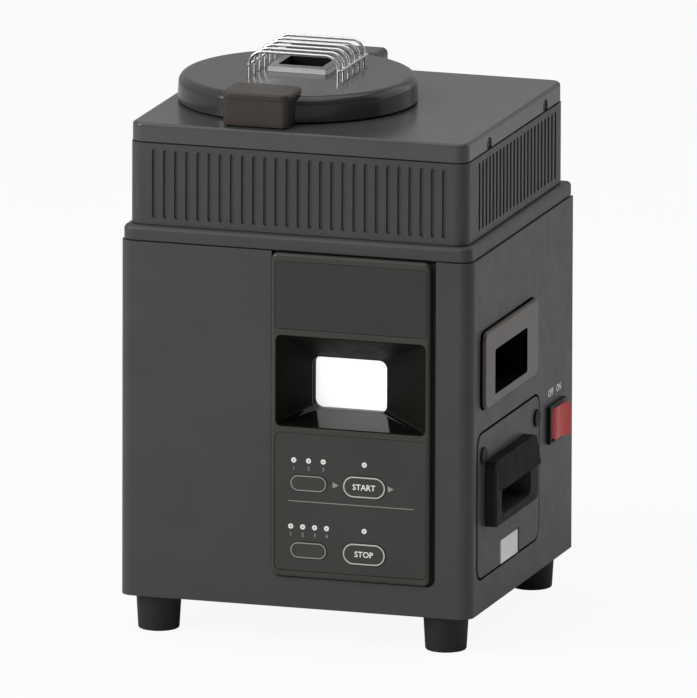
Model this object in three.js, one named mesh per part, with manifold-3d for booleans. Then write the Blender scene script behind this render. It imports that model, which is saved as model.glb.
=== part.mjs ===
// Home coffee bean roaster: a free-standing sheet-metal tower with a hinged round lid on top,
// a stirred hot-air roasting pot under the lid, a bean drawer and a chaff case on the right side.
// Millimetres. +X is the user's right, -Y is the front, +Z is up.

import * as THREE from 'three';
import { mergeVertices } from 'three/addons/utils/BufferGeometryUtils.js';
import Module from 'manifold-3d';

const wasm = await Module();
wasm.setup();

// Driving dimensions

const gap = 0.3;
const overrun = 4;
const facets = { chord: 0.33, hiddenChord: 0.9, least: 6, leastShare: 0.1 };

const foot = {
  height: 24.7, topRadius: 15.5, bottomRadius: 14, edge: 1.2, recess: 1.5, recessRadius: 9,
  sideInset: 22.6, endInset: 18.5,
};
const casing = { width: 248, depth: 231.2, height: 244.5, wall: 1.2, corner: 9, flange: 12 };
const base = { thickness: 1.5 };
const rearPanel = {
  wall: 1.2, recess: 1.3, ventWidth: 46, ventHeight: 3, ventPitch: 9, ventRows: 5,
  lowVentZ: 66, highVentZ: 196, screwInset: 6.5,
};
const shoulder = { height: 10.7, inset: 1.2, wall: 2.2, edge: 3, shelf: 8 };
const upper = {
  inset: 5.06, height: 56.2, wall: 1.2, frontWall: 4, rimHeight: 10, corner: 9,
};
const rib = {
  bottomMargin: 5.2, topMargin: 4, grooveWidth: 2.7, grooveDepth: 1.4, groovePitch: 7.85,
  grooveMargin: 21.95, slotWidth: 3.6, slotPitch: 7.7, slotFront: 36.75, slotRear: 17.35,
};
const cover = {
  inset: 0.5, height: 13.6, wall: 1.5, edge: 2.2, corner: 8.5, mouthRadius: 62,
  notchWidth: 9.5, notchHeight: 8.5, notchFront: 57.6, notchRear: 46.6,
};
const screw = {
  headRadius: 2.9, headHeight: 1.6, shankRadius: 1.4, shankLength: 6, inset: 4.6, rounding: 1.2,
  stripWidth: 8, stripThickness: 2.5, stripEnd: 6,
};

const bezel = {
  left: 16, right: 96.6, bottom: 21.7, topGap: 0.4, proud: 3, edge: 2.4, corner: 4.5,
  flange: 3, flangeThickness: 2, wall: 2.2,
};
const header = {
  side: 2.9, top: 5.2, height: 46.5, thickness: 1.2, corner: 3, sunk: 0.1, edge: 0.3,
};
const niche = {
  side: 3.4, top: 188.1, bottom: 125.2, corner: 4, depth: 30.6, wall: 1.5,
};
const display = {
  left: 4, right: 56.4, bottom: 131.9, top: 167.9, corner: 5.5, sleeve: 7.6,
  lensThickness: 2, lensMargin: 2.5, collarDepth: 8.6, boardThickness: 1.6, boardGap: 3,
};
const lamp = { size: 5, height: 1.4, columns: 3, rows: 2, marginShare: 0.2 };
const panel = {
  side: 3, bottom: 26.5, top: 121.2, corner: 4, thickness: 2, ledge: 3, sunk: 0.3,
};
const key = {
  smallX: 11, largeX: 50.2, upperZ: 87.1, lowerZ: 40.9, smallWidth: 25.5, smallHeight: 11,
  largeWidth: 29.8, largeHeight: 14.6, proud: 0.7, edge: 0.5, flange: 1, flangeThickness: 1.2,
  travel: 0.8,
};
const indicator = {
  radius: 1.75, proud: 0.35, upperZ: 102.6, lowerZ: 56.9, pairX: 50.2,
  trioStart: 0.5, trioPitch: 10.4, trioCount: 3, quadStart: -1.5, quadPitch: 8.4, quadCount: 4,
  length: 4, strip: 1.4, stripHeight: 2.6, spineX: 29,
};
const board = { thickness: 1.6, margin: 6, bossRadius: 3, bossInset: 9, switchSize: 6 };

const drawerFront = {
  start: 16.7, housingGap: 17.2, bottom: 22.4, top: 122.9, corner: 9, thickness: 2, seam: 1,
  frontSeam: 3.1,
};
const drawerPlug = {
  radius: 6, proud: 0.6, depth: 2, frontInset: 11.2, rearInset: 6.7, height: 107.7,
};
const pull = {
  start: 15.8, rearInset: 27, bottom: 56.9, top: 102, corner: 5, proud: 8.1, lip: 1.9,
  lipHeight: 81.8, lipDrop: 3.5, frontRim: 12.4, rearRim: 17.6, topRim: 7, bottomRim: 6.7,
  pocketCorner: 5, pocketDepth: 9, edge: 1.6, wall: 1.6,
};
const drawerPlate = { start: 52.9, width: 38, height: 16.3, thickness: 1.6, corner: 1.2 };
const tray = {
  length: 118, height: 62, wall: 1.5, sideGap: 4, bottomGap: 3.2, corner: 8, rim: 2.4,
};
const bay = { wall: 1, gap: 1.2 };

const chaffPlate = {
  start: 22, length: 121, bottom: 139.9, top: 192.9, corner: 6, thickness: 3.1, edge: 2,
};
const chaffPocket = { front: 22, rear: 26, bottom: 6.8, top: 17, corner: 3, depth: 20, wall: 1.6 };
const chaffBox = { margin: 5, length: 56, wall: 1.5, corner: 5, inlet: 11.4 };

const rockerHousing = {
  rearInset: 20.6, width: 38, bottom: 83.1, height: 26.8, proud: 1, rim: 2.2, depth: 20,
  corner: 1.5,
};
const rocker = { start: 20.9, radius: 11.8, height: 21.8, low: 4.2, high: 8.4, root: 6 };

const lid = {
  x: -33, y: -6, gap: 0.9, radius: 81.1, height: 17.6, edge: 6, wall: 1.8,
  draft: 0.5, foot: 0.8,
};
const chimney = {
  y: 19, width: 41.6, depth: 41, flare: 0.7, height: 4, edge: 0.7,
  openWidth: 30.9, openDepth: 28, corner: 1.5, wall: 1, baffleDrop: 9, baffleBar: 3.4,
  baffleSpread: 4.7,
};
const guard = {
  y: 19.5, wire: 1.05, legSpan: 62.6, hoops: 6, pitch: 11.6, height: 14.7, bend: 9,
  railWire: 1, railHeight: 4.8, railOverhang: 1.5, weld: 0.4,
};
const handle = {
  width: 47.6, depth: 33.5, reach: 97.5, drop: 0.2, height: 22, corner: 6, edge: 2,
};
const liner = { radius: 74, floor: 4.6, wall: 1, plugRadius: 51, plugDrop: 6, rimHeight: 7 };
const gasket = { inner: 60, outer: 66 };
const hinge = {
  y: 90, z: 10.5, pinRadius: 2, pinLength: 64, knuckle: 5, blockWidth: 68, blockFront: 70,
  blockBack: 96.5, blockBottom: 4.5, blockTop: 18.3, blockEdge: 4, lugWidth: 6, lugSpan: 44,
  leafThickness: 2, leafBack: 100, slack: 1.2,
};

const pot = {
  radius: 56, wall: 1, depth: 107, bend: 9, flangeRadius: 69, flangeThickness: 1.2,
  bossRadius: 9, bossDrop: 6, bossRise: 2.5, holeRadius: 1.9, innerRing: 22, outerRing: 38,
  innerHoles: 5, outerHoles: 9,
};
const spout = { reach: 69, width: 30, height: 26, lift: 3, wall: 1.2 };
const jacket = { radius: 64, wall: 1, drop: 10.5, shaftHole: 13, topGap: 0.5 };
const sensor = {
  radius: 2, length: 26, lift: 22, collarRadius: 4, collar: 3, collarSides: 6,
  angle: -120,
};
const agitator = {
  shaftRadius: 4, hubRadius: 9, hubHeight: 15, bladeReach: 50, bladeThickness: 3,
  bladeHeight: 13, bladeGap: 1.2, sweep: 14, wiperHeight: 30, wiperWidth: 7, tipSweep: 4.6,
  collarHeight: 9, curvePoints: 5,
};
const gear = {
  module: 1.8, teeth: 30, pinionTeeth: 10, thickness: 8, lift: 1.6, hubRadius: 9, webThickness: 4,
  rimDepth: 5.4,
  backlash: 0.5, pressure: 20, dedendumShare: 1.25, lighten: 4.5, lightenRing: 16, holes: 6,
};
const motor = {
  box: 46, boxHeight: 20, radius: 20, canHeight: 28, shaftRadius: 3, corner: 4, edge: 1,
};
const frame = {
  deckDrop: 12, thickness: 1.5, left: 104, middle: 26, right: 58, front: 64, ductGap: 17,
  legBack: 16, lip: 14, post: 8, postRing: 58, postTurns: [30, 150, 270],
  bushRadius: 9, bushDrop: 4,
};
const blower = {
  x: 66, rearInset: 55.6, z: 45, width: 34, wall: 1.5, outer: 39, outletDepth: 22,
  outletTop: 91, inletRadius: 18, footHeight: 5.2, footSpread: 12, footHalf: 4,
};
const impeller = { radius: 25, hub: 6, blades: 9, blade: 1.2, bladeLength: 7, ring: 1.6, width: 22 };
const blowerMotor = { radius: 18, length: 24, shaftRadius: 2.4, boss: 6, bossLength: 2 };
const duct = { wall: 1.2, neckBottom: 2.5, neckHeight: 26, neckFront: 62, chamfer: 10 };
const heater = {
  coilRadius: 6.5, wire: 0.8, turns: 5, turnSteps: 6, wireSides: 4, lift: 19, height: 80,
  core: 3.5, star: 1.2,
};
const gate = {
  thickness: 2, margin: 2, lift: 26, tabThickness: 2, tabReach: 14, plungerRadius: 3, engage: 4,
  guide: 2,
};
const solenoid = { width: 24, depth: 28, height: 27, clearance: 1.5, leg: 4, coilRadius: 9.6 };
const chute = { wall: 1, right: 62, left: 34, margin: 2, shoulder: 14, ledge: 5 };
const powerBoard = {
  standoff: 5, standoffRadius: 3, depth: 66, length: 110, bottom: 60, inset: 8, frontInset: 6,
  partHeight: 5, coreHeight: 6, blockLength: 24, coreLength: 16, canRadius: 5.6,
};
const gland = {
  sideInset: 40, height: 26, radius: 6.2, flangeRadius: 9, flangeFace: 7.6, flange: 2.4,
  nutRadius: 9, nutSides: 6, nut: 3.4, bore: 3.7,
};

// Places worked out from the driving dimensions

const halfWidth = casing.width / 2;
const frontY = -casing.depth / 2;
const backY = casing.depth / 2;
const casingBottom = foot.height;
const casingTop = casingBottom + casing.height;
const baseTop = casingBottom + base.thickness;
const panelBack = backY - rearPanel.recess;
const glandX = -halfWidth + gland.sideInset;
const panelFront = panelBack - rearPanel.wall;
const flangeFront = panelFront - casing.wall;
const upperBottom = casingTop + shoulder.height;
const upperTop = upperBottom + upper.height;
const coverTop = upperTop + cover.height;
const coverUnder = coverTop - cover.wall;
const lidBottom = coverTop + lid.gap;
const potBottom = coverTop - pot.depth;
const jacketBottom = potBottom - jacket.drop;
const deckTop = jacketBottom - frame.deckDrop;
const deckBottom = deckTop - frame.thickness;
const bezelBottom = casingBottom + bezel.bottom;
const bezelTop = casingTop - bezel.topGap;
const bezelFace = frontY - bezel.proud;
const bezelBack = frontY + casing.wall + gap + bezel.flangeThickness;
const housingBack = backY - rockerHousing.rearInset;
const housingFront = housingBack - rockerHousing.width;
const doorFront = frontY + drawerFront.start;
const doorBack = housingFront - drawerFront.housingGap;
const pullFront = doorFront + pull.start;
const pullBack = doorBack - pull.rearInset;
const plateFront = doorFront + drawerPlate.start;
const chaffFront = frontY + chaffPlate.start;
const chaffBack = chaffFront + chaffPlate.length;
const rockerY = housingFront + rocker.start;
const blowerY = backY - blower.rearInset;
const coverScrewYs = [frontY + cover.notchFront, backY - cover.notchRear];
const plugYs = [doorFront + drawerPlug.frontInset, doorBack - drawerPlug.rearInset];

// Solids and shapes

const materials = {};

function surface(name, color, roughness, metalness) {
  materials[name] = { color, roughness, metalness };
}

function solid(geometry) {
  const bare = geometry.index ? geometry.toNonIndexed() : geometry.clone();
  for (const name of Object.keys(bare.attributes)) {
    if (name !== 'position') bare.deleteAttribute(name);
  }
  const merged = mergeVertices(bare);
  const index = merged.index.array;
  const kept = [];
  for (let i = 0; i < index.length; i += 3) {
    const [a, b, c] = [index[i], index[i + 1], index[i + 2]];
    if (a !== b && b !== c && a !== c) kept.push(a, b, c);
  }
  const vertProperties = new Float32Array(merged.attributes.position.array);
  const mesh = new wasm.Mesh({ numProp: 3, vertProperties, triVerts: new Uint32Array(kept) });
  return new wasm.Manifold(mesh);
}

function toGeometry(body) {
  const mesh = body.getMesh();
  const geometry = new THREE.BufferGeometry();
  const points = new Float32Array(mesh.vertProperties);
  geometry.setAttribute('position', new THREE.BufferAttribute(points, 3));
  geometry.setIndex(new THREE.BufferAttribute(new Uint32Array(mesh.triVerts), 1));
  geometry.computeVertexNormals();
  return geometry;
}

function join(...bodies) {
  return bodies.reduce((whole, body) => whole.add(body));
}

function cut(body, ...tools) {
  return tools.reduce((rest, tool) => rest.subtract(tool), body);
}

// A prism or loft is drawn in a plane and runs along the axis that is named: the plane's own
// coordinates are (x, y) for z, (y, z) for x and (x, z) for y.
const turns = {
  z: new THREE.Matrix4(),
  x: new THREE.Matrix4().set(0, 0, 1, 0, 1, 0, 0, 0, 0, 1, 0, 0, 0, 0, 0, 1),
  y: new THREE.Matrix4().set(1, 0, 0, 0, 0, 0, -1, 0, 0, 1, 0, 0, 0, 0, 0, 1),
};

function prism(axis, outline, from, to) {
  const depth = to - from;
  const shape = new THREE.Shape(outline);
  const geometry = new THREE.ExtrudeGeometry(shape, { depth, bevelEnabled: false });
  geometry.translate(0, 0, axis === 'y' ? -to : from);
  return solid(geometry.applyMatrix4(turns[axis]));
}

function loft(axis, rings) {
  const levels = rings.map(({ points, at }) => ({ points, at: axis === 'y' ? -at : at }));
  if (levels[0].at > levels[levels.length - 1].at) levels.reverse();
  const count = levels[0].points.length;
  const corners = levels.flatMap(({ points, at }) => points.flatMap((p) => [p.x, p.y, at]));
  const index = [];
  for (let level = 0; level + 1 < levels.length; level++) {
    for (let i = 0; i < count; i++) {
      const next = (i + 1) % count;
      const [a, b] = [level * count + i, level * count + next];
      index.push(a, b, b + count, a, b + count, a + count);
    }
  }
  const top = (levels.length - 1) * count;
  for (const [a, b, c] of THREE.ShapeUtils.triangulateShape(levels[0].points, [])) {
    index.push(a, c, b);
  }
  for (const [a, b, c] of THREE.ShapeUtils.triangulateShape(levels[levels.length - 1].points, [])) {
    index.push(top + a, top + b, top + c);
  }
  const geometry = new THREE.BufferGeometry();
  geometry.setAttribute('position', new THREE.Float32BufferAttribute(corners, 3));
  geometry.setIndex(index);
  return solid(geometry.applyMatrix4(turns[axis]));
}

// A slab whose outline shrinks along a quarter round at either end
function softSlab(axis, outline, from, to, edgeFrom, edgeTo) {
  const steps = stepsFor(Math.max(edgeFrom, edgeTo));
  const rings = [];
  const quarter = Math.PI / 2;
  for (let i = 0; i <= steps; i++) {
    const turn = quarter * (i / steps);
    if (edgeFrom > 0) {
      rings.push({
        points: outline(edgeFrom * (1 - Math.sin(turn))),
        at: from + edgeFrom * (1 - Math.cos(turn)),
      });
    }
  }
  if (!(edgeFrom > 0)) rings.push({ points: outline(0), at: from });
  if (!(edgeTo > 0)) rings.push({ points: outline(0), at: to });
  for (let i = 0; i <= steps; i++) {
    const turn = quarter * (i / steps);
    if (edgeTo > 0) {
      rings.push({
        points: outline(edgeTo * (1 - Math.cos(turn))),
        at: to - edgeTo * (1 - Math.sin(turn)),
      });
    }
  }
  return loft(axis, rings);
}

// How many sides keep a circle's chords within the chosen distance of it
function sidesFor(radius) {
  const sides = Math.ceil(Math.PI / Math.acos(1 - Math.min(facets.chord / radius, 0.5)));
  return Math.max(sides, facets.least);
}

function stepsFor(corner) {
  return Math.max(Math.round(sidesFor(corner) / 4), 1);
}

function arc(cx, cy, radius, start, end, steps) {
  const points = [];
  for (let i = 0; i <= steps; i++) {
    const turn = start + (end - start) * (i / steps);
    points.push(new THREE.Vector2(cx + radius * Math.cos(turn), cy + radius * Math.sin(turn)));
  }
  return points;
}

function rectangle(left, right, bottom, top) {
  return [[left, bottom], [right, bottom], [right, top], [left, top]].map(([a, b]) => (
    new THREE.Vector2(a, b)
  ));
}

function roundRect(left, right, bottom, top, corner, steps = stepsFor(corner)) {
  const quarter = Math.PI / 2;
  return [
    ...arc(right - corner, top - corner, corner, 0, quarter, steps),
    ...arc(left + corner, top - corner, corner, quarter, 2 * quarter, steps),
    ...arc(left + corner, bottom + corner, corner, 2 * quarter, 3 * quarter, steps),
    ...arc(right - corner, bottom + corner, corner, 3 * quarter, 4 * quarter, steps),
  ];
}

function shrinking(left, right, bottom, top, corner) {
  const least = corner * facets.leastShare;
  const steps = stepsFor(corner);
  return (inset) => roundRect(
    left + inset, right - inset, bottom + inset, top - inset,
    Math.max(corner - inset, least), steps,
  );
}

function block(x0, x1, y0, y1, z0, z1) {
  const geometry = new THREE.BoxGeometry(x1 - x0, y1 - y0, z1 - z0);
  return solid(geometry.translate((x0 + x1) / 2, (y0 + y1) / 2, (z0 + z1) / 2));
}

function bar(axis, radius, from, to, a = 0, b = 0, endRadius = radius, sides = sidesFor(radius)) {
  const round = (r) => arc(a, b, r, 0, 2 * Math.PI, sides).slice(0, sides);
  return loft(axis, [{ points: round(radius), at: from }, { points: round(endRadius), at: to }]);
}

// A hole that clears a round piece by the gap whichever way the piece is turned
function bore(axis, radius, from, to, a = 0, b = 0) {
  const sides = sidesFor(radius);
  const outer = (radius + gap) / Math.cos(Math.PI / sides);
  return bar(axis, outer, from, to, a, b, outer, sides);
}

function lathe(profile) {
  const segments = sidesFor(Math.max(...profile.map(([r]) => r)));
  const points = profile.map(([r, z]) => new THREE.Vector2(r, z));
  const geometry = new THREE.LatheGeometry(points, segments);
  return solid(geometry.rotateX(Math.PI / 2));
}

function ring(outer, inner, bottom, top) {
  return lathe([[inner, bottom], [outer, bottom], [outer, top], [inner, top], [inner, bottom]]);
}

function tube(path, radius, steps, sides) {
  const section = new THREE.Shape(arc(0, 0, radius, 0, 2 * Math.PI, sides).slice(0, sides));
  return solid(new THREE.ExtrudeGeometry(section, { steps, extrudePath: path, bevelEnabled: false }));
}

function fillet(cx, cz, radius, start, end) {
  return arc(cx, cz, radius, start, end, stepsFor(radius)).map((p) => [p.x, p.y]);
}

// The casing's plan, drawn in by an inset: round front corners, square rear ones
function plan(inset, outerCorner = casing.corner - inset, rear = backY - inset) {
  const x = halfWidth - inset;
  const y = frontY + inset;
  const corner = Math.max(outerCorner, casing.wall);
  const steps = stepsFor(casing.corner);
  const quarter = Math.PI / 2;
  return [
    new THREE.Vector2(x, rear),
    new THREE.Vector2(-x, rear),
    ...arc(-x + corner, y + corner, corner, 2 * quarter, 3 * quarter, steps),
    ...arc(x - corner, y + corner, corner, 3 * quarter, 4 * quarter, steps),
  ];
}

// The upper casing's plan, drawn in by an inset: all four corners round
function upperPlan(inset, corner) {
  return roundRect(
    -halfWidth + inset, halfWidth - inset, frontY + inset, backY - inset, corner,
    stepsFor(upper.corner),
  );
}

// Materials

surface('casing_paint', 0x4b4b4b, 0.45, 0.3);
surface('cover_paint', 0x6f7070, 0.35, 0.3);
surface('zinc', 0xa9abad, 0.4, 0.8);
surface('steel', 0xc9c9c6, 0.28, 0.9);
surface('chrome', 0xe6e6e6, 0.12, 1);
surface('bezel_plastic', 0x41413d, 0.3, 0);
surface('dark_plate', 0x353736, 0.35, 0);
surface('black_plastic', 0x1e1f1f, 0.45, 0);
surface('brown_plastic', 0x574d47, 0.45, 0);
surface('smoked', 0x4c4845, 0.15, 0);
surface('milky', 0xfbfbfb, 0.3, 0);
surface('key_plastic', 0x474745, 0.4, 0);
surface('red_plastic', 0xa0443f, 0.35, 0);
surface('rubber', 0x242526, 0.7, 0);
surface('silicone', 0x8a8680, 0.6, 0);
surface('board_green', 0x2f5a3a, 0.5, 0);
surface('ceramic', 0xd9d4c8, 0.7, 0);
surface('nylon', 0xd8d5cb, 0.5, 0);
surface('motor_steel', 0x8d9092, 0.4, 0.8);

const roaster = new THREE.Group();

function add(parent, name, body, finish, place = [0, 0, 0]) {
  const { color, roughness, metalness } = materials[finish];
  const material = new THREE.MeshStandardMaterial({ color, roughness, metalness });
  const mesh = new THREE.Mesh(toGeometry(body), material);
  mesh.name = name;
  mesh.position.set(...place);
  parent.add(mesh);
  return mesh;
}

// Feet and casing

function makeFoot() {
  const { height, topRadius, bottomRadius, edge, recess, recessRadius } = foot;
  return lathe([
    [0, recess], [recessRadius, recess], [recessRadius + recess, 0], [bottomRadius - edge, 0],
    [bottomRadius, edge], [topRadius, height], [0, height],
  ]);
}

function makeBase() {
  const rear = flangeFront - gap;
  const inset = casing.wall + gap;
  return prism('z', plan(inset, casing.corner - inset, rear), casingBottom, baseTop);
}

function slotOutline(x, z0, z1, width) {
  return rectangle(x - width / 2, x + width / 2, z0, z1);
}

function makeCasing() {
  const { wall, corner } = casing;
  const inside = plan(wall, corner - wall, backY + overrun);
  let body = cut(
    prism('z', plan(0), casingBottom, casingTop),
    prism('z', inside, casingBottom - overrun, casingTop + overrun),
  );
  const topShelf = cut(
    prism('z', plan(wall / 2, corner - wall / 2, panelFront), casingTop - wall, casingTop),
    prism('z', plan(casing.flange), casingBottom, casingTop + overrun),
  );
  body = join(body, topShelf);
  for (const side of [-1, 1]) {
    const outer = side * (halfWidth - casing.wall / 2);
    const inner = side * (halfWidth - casing.flange);
    const [x0, x1] = [Math.min(outer, inner), Math.max(outer, inner)];
    body = join(body, block(x0, x1, flangeFront, panelFront, casingBottom, casingTop));
  }
  const notch = block(
    -bezel.left - gap, bezel.right + gap, frontY - overrun, frontY + casing.wall + overrun,
    bezelBottom - gap, casingTop + overrun,
  );
  const flangeRoom = block(
    -bezel.left - bezel.flange - gap, bezel.right + bezel.flange + gap,
    frontY + casing.wall, frontY + casing.flange + overrun,
    bezelBottom, casingTop + overrun,
  );
  return cut(
    body, notch, flangeRoom, drawerOpening(), chaffOpening(), rockerOpening(), ...screwHoles('rear'),
  );
}

function sideOpening(y0, y1, z0, z1, corner) {
  const from = halfWidth - casing.wall - overrun;
  return prism('x', roundRect(y0, y1, z0, z1, corner), from, halfWidth + overrun);
}

function drawerOpening() {
  const d = drawerFront;
  return sideOpening(
    doorFront - d.frontSeam, doorBack + d.seam,
    casingBottom + d.bottom - d.seam, casingBottom + d.top + d.seam, d.corner + d.seam,
  );
}

function chaffOpening() {
  const [y0, y1, z0, z1] = chaffInside(chaffBox.margin - gap - bay.gap);
  return sideOpening(y0, y1, z0, z1, chaffBox.corner);
}

function chaffInside(margin) {
  return [
    chaffFront + margin, chaffBack - margin,
    casingBottom + chaffPlate.bottom + margin, casingBottom + chaffPlate.top - margin,
  ];
}

function rockerOpening() {
  const h = rockerHousing;
  const rim = h.rim - gap;
  return sideOpening(
    housingFront + rim, housingBack - rim, casingBottom + h.bottom + rim,
    casingBottom + h.bottom + h.height - rim, h.corner,
  );
}

function rearScrewPlaces() {
  const x = halfWidth - rearPanel.screwInset;
  const z0 = casingBottom + rearPanel.screwInset + base.thickness;
  const z1 = casingTop - rearPanel.screwInset;
  const middle = (z0 + z1) / 2;
  return [-x, x].flatMap((side) => [z0, middle, z1].map((z) => [side, z]));
}

function coverScrewPlaces() {
  const z = upperTop + screw.inset;
  return [-1, 1].flatMap((side) => coverScrewYs.map((y) => [side, y, z]));
}

const rimInset = upper.inset + cover.inset + cover.wall + gap;
const rimOuter = halfWidth - rimInset;
const rimInner = rimOuter - upper.wall;

function screwHoles(where) {
  if (where === 'rear') {
    return rearScrewPlaces().map(([x, z]) => (
      bore('y', screw.shankRadius, flangeFront - overrun, panelFront + gap, x, z)
    ));
  }
  return coverScrewPlaces().map(([side, y, z]) => {
    const ends = [side * (rimInner - overrun), side * (rimOuter + overrun)].sort((a, b) => a - b);
    return bore('x', screw.shankRadius, ends[0], ends[1], y, z);
  });
}

function screwBody(axis, seat, a, b) {
  const { headRadius, headHeight, shankRadius, shankLength, rounding } = screw;
  return join(
    bar(axis, headRadius, seat, seat + headHeight, a, b, headRadius - rounding),
    bar(axis, shankRadius, seat - shankLength, seat + headHeight / 2, a, b),
  );
}

// Two screws at one side of the top cover, and the tapped strip inside the rim that they hold
function makeCoverFixings(side) {
  const z = upperTop + screw.inset;
  const strip = block(
    rimInner - screw.stripThickness, rimInner,
    coverScrewYs[0] - screw.stripEnd, coverScrewYs[1] + screw.stripEnd,
    z - screw.stripWidth / 2, z + screw.stripWidth / 2,
  );
  const screws = coverScrewYs.map((y) => screwBody('x', rimOuter, y, z));
  const right = join(strip, ...screws);
  return side > 0 ? right : right.mirror([1, 0, 0]);
}

function makeRearPanel() {
  const x = halfWidth - casing.wall - gap;
  const body = block(-x, x, panelFront, panelBack, casingBottom, casingTop - casing.wall - gap);
  const vents = [];
  for (const side of [-1, 1]) {
    for (const level of [rearPanel.lowVentZ, rearPanel.highVentZ]) {
      for (let row = 0; row < rearPanel.ventRows; row++) {
        const z = casingBottom + level + row * rearPanel.ventPitch;
        const cx = side * halfWidth / 2;
        const outline = rectangle(
          cx - rearPanel.ventWidth / 2, cx + rearPanel.ventWidth / 2,
          z - rearPanel.ventHeight / 2, z + rearPanel.ventHeight / 2,
        );
        vents.push(prism('y', outline, panelFront - overrun, panelBack + overrun));
      }
    }
  }
  const glandHole = bore(
    'y', gland.radius, panelFront - overrun, panelBack + overrun,
    glandX, casingBottom + gland.height,
  );
  const screws = rearScrewPlaces().map(([x, z]) => screwBody('y', panelBack, x, z));
  return join(cut(body, ...vents, glandHole), ...screws);
}

function makeShoulder() {
  const { inset, wall, edge, shelf } = shoulder;
  const outline = (shrink) => plan(inset + shrink);
  const body = softSlab('z', outline, casingTop, upperBottom, 0, edge);
  const middle = upper.inset + shelf;
  return cut(
    body,
    prism('z', plan(inset + wall), casingTop - overrun, upperBottom - wall),
    prism('z', plan(middle), casingTop - overrun, upperBottom + overrun),
  );
}

function makeUpperCasing() {
  const { inset, wall, frontWall, rimHeight, corner } = upper;
  const rimCorner = cover.corner - cover.wall - gap;
  const outer = prism('z', upperPlan(inset, corner), upperBottom, upperTop);
  const hollow = prism(
    'z', upperPlan(inset + wall, corner - wall), upperBottom - overrun, upperTop - wall,
  );
  const mouth = prism(
    'z', upperPlan(rimInset + wall, rimCorner - wall), upperBottom, upperTop + rimHeight + overrun,
  );
  const rim = prism('z', upperPlan(rimInset, rimCorner), upperTop - wall, upperTop + rimHeight);
  const thickFront = block(
    -halfWidth + corner + inset, halfWidth - corner - inset,
    frontY + inset + wall / 2, frontY + inset + frontWall, upperBottom, upperTop - wall / 2,
  );
  const shell = join(cut(join(cut(outer, hollow), rim), mouth), thickFront);
  const z0 = upperBottom + rib.bottomMargin;
  const z1 = upperTop - rib.topMargin;
  const grooves = [];
  const count = Math.round((casing.width - 2 * rib.grooveMargin) / rib.groovePitch) + 1;
  const start = -(count - 1) * rib.groovePitch / 2;
  const face = frontY + inset;
  for (let i = 0; i < count; i++) {
    const outline = slotOutline(start + i * rib.groovePitch, z0, z1, rib.grooveWidth);
    grooves.push(prism('y', outline, face - overrun, face + rib.grooveDepth));
  }
  const slots = [];
  const slotSpan = casing.depth - rib.slotFront - rib.slotRear;
  const slotCount = Math.round(slotSpan / rib.slotPitch) + 1;
  const first = frontY + rib.slotFront;
  const side = halfWidth - inset;
  for (let i = 0; i < slotCount; i++) {
    const outline = slotOutline(first + i * rib.slotPitch, z0, z1, rib.slotWidth);
    slots.push(prism('x', outline, side - wall - overrun, side + overrun));
    slots.push(prism('x', outline, -side - overrun, -side + wall + overrun));
  }
  return cut(shell, ...grooves, ...slots, ...screwHoles('cover'));
}

function makeTopCover() {
  const inset = upper.inset + cover.inset;
  const outline = (shrink) => upperPlan(inset + shrink, cover.corner - shrink);
  const body = softSlab('z', outline, upperTop, coverTop, 0, cover.edge);
  const hollow = prism('z', outline(cover.wall), upperTop - overrun, coverUnder);
  const mouth = bar('z', cover.mouthRadius, upperTop, coverTop + overrun, lid.x, lid.y);
  const notches = coverScrewYs.map((y) => {
    const half = cover.notchWidth / 2;
    const outline = roundRect(
      y - half, y + half, upperTop - cover.notchHeight, upperTop + cover.notchHeight, half,
    );
    const reach = halfWidth - inset;
    return join(
      prism('x', outline, reach - cover.wall - gap, reach + overrun),
      prism('x', outline, -reach - overrun, -reach + cover.wall + gap),
    );
  });
  return cut(body, hollow, mouth, ...notches);
}

// Front moulding with its window niche, plates, keys and lights

function bezelOutline(inset) {
  return roundRect(
    -bezel.left + inset, bezel.right - inset, bezelBottom + inset, bezelTop - inset,
    Math.max(bezel.corner - inset, bezel.corner * facets.leastShare), stepsFor(bezel.corner),
  );
}

function nicheRing(grow) {
  return roundRect(
    -bezel.left + niche.side - grow, bezel.right - niche.side + grow,
    casingBottom + niche.bottom - grow, casingBottom + niche.top + grow,
    niche.corner + grow, stepsFor(display.corner),
  );
}

function displayRing(grow) {
  return roundRect(
    display.left - grow, display.right + grow,
    casingBottom + display.bottom - grow, casingBottom + display.top + grow,
    display.corner + grow, stepsFor(display.corner),
  );
}

const nicheFront = bezelFace;
const nicheBack = bezelFace + niche.depth;
const sleeveBack = nicheBack + display.sleeve;
const collarBack = sleeveBack + display.collarDepth;

function plateOutline(inset) {
  return roundRect(
    -bezel.left + header.side + inset, bezel.right - header.side - inset,
    bezelTop - header.top - header.height + inset, bezelTop - header.top - inset,
    header.corner - inset, stepsFor(header.corner),
  );
}

function panelOutline(inset) {
  return roundRect(
    -bezel.left + panel.side + inset, bezel.right - panel.side - inset,
    casingBottom + panel.bottom + inset, casingBottom + panel.top - inset,
    Math.max(panel.corner - inset, panel.thickness / 2), stepsFor(panel.corner),
  );
}

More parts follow.
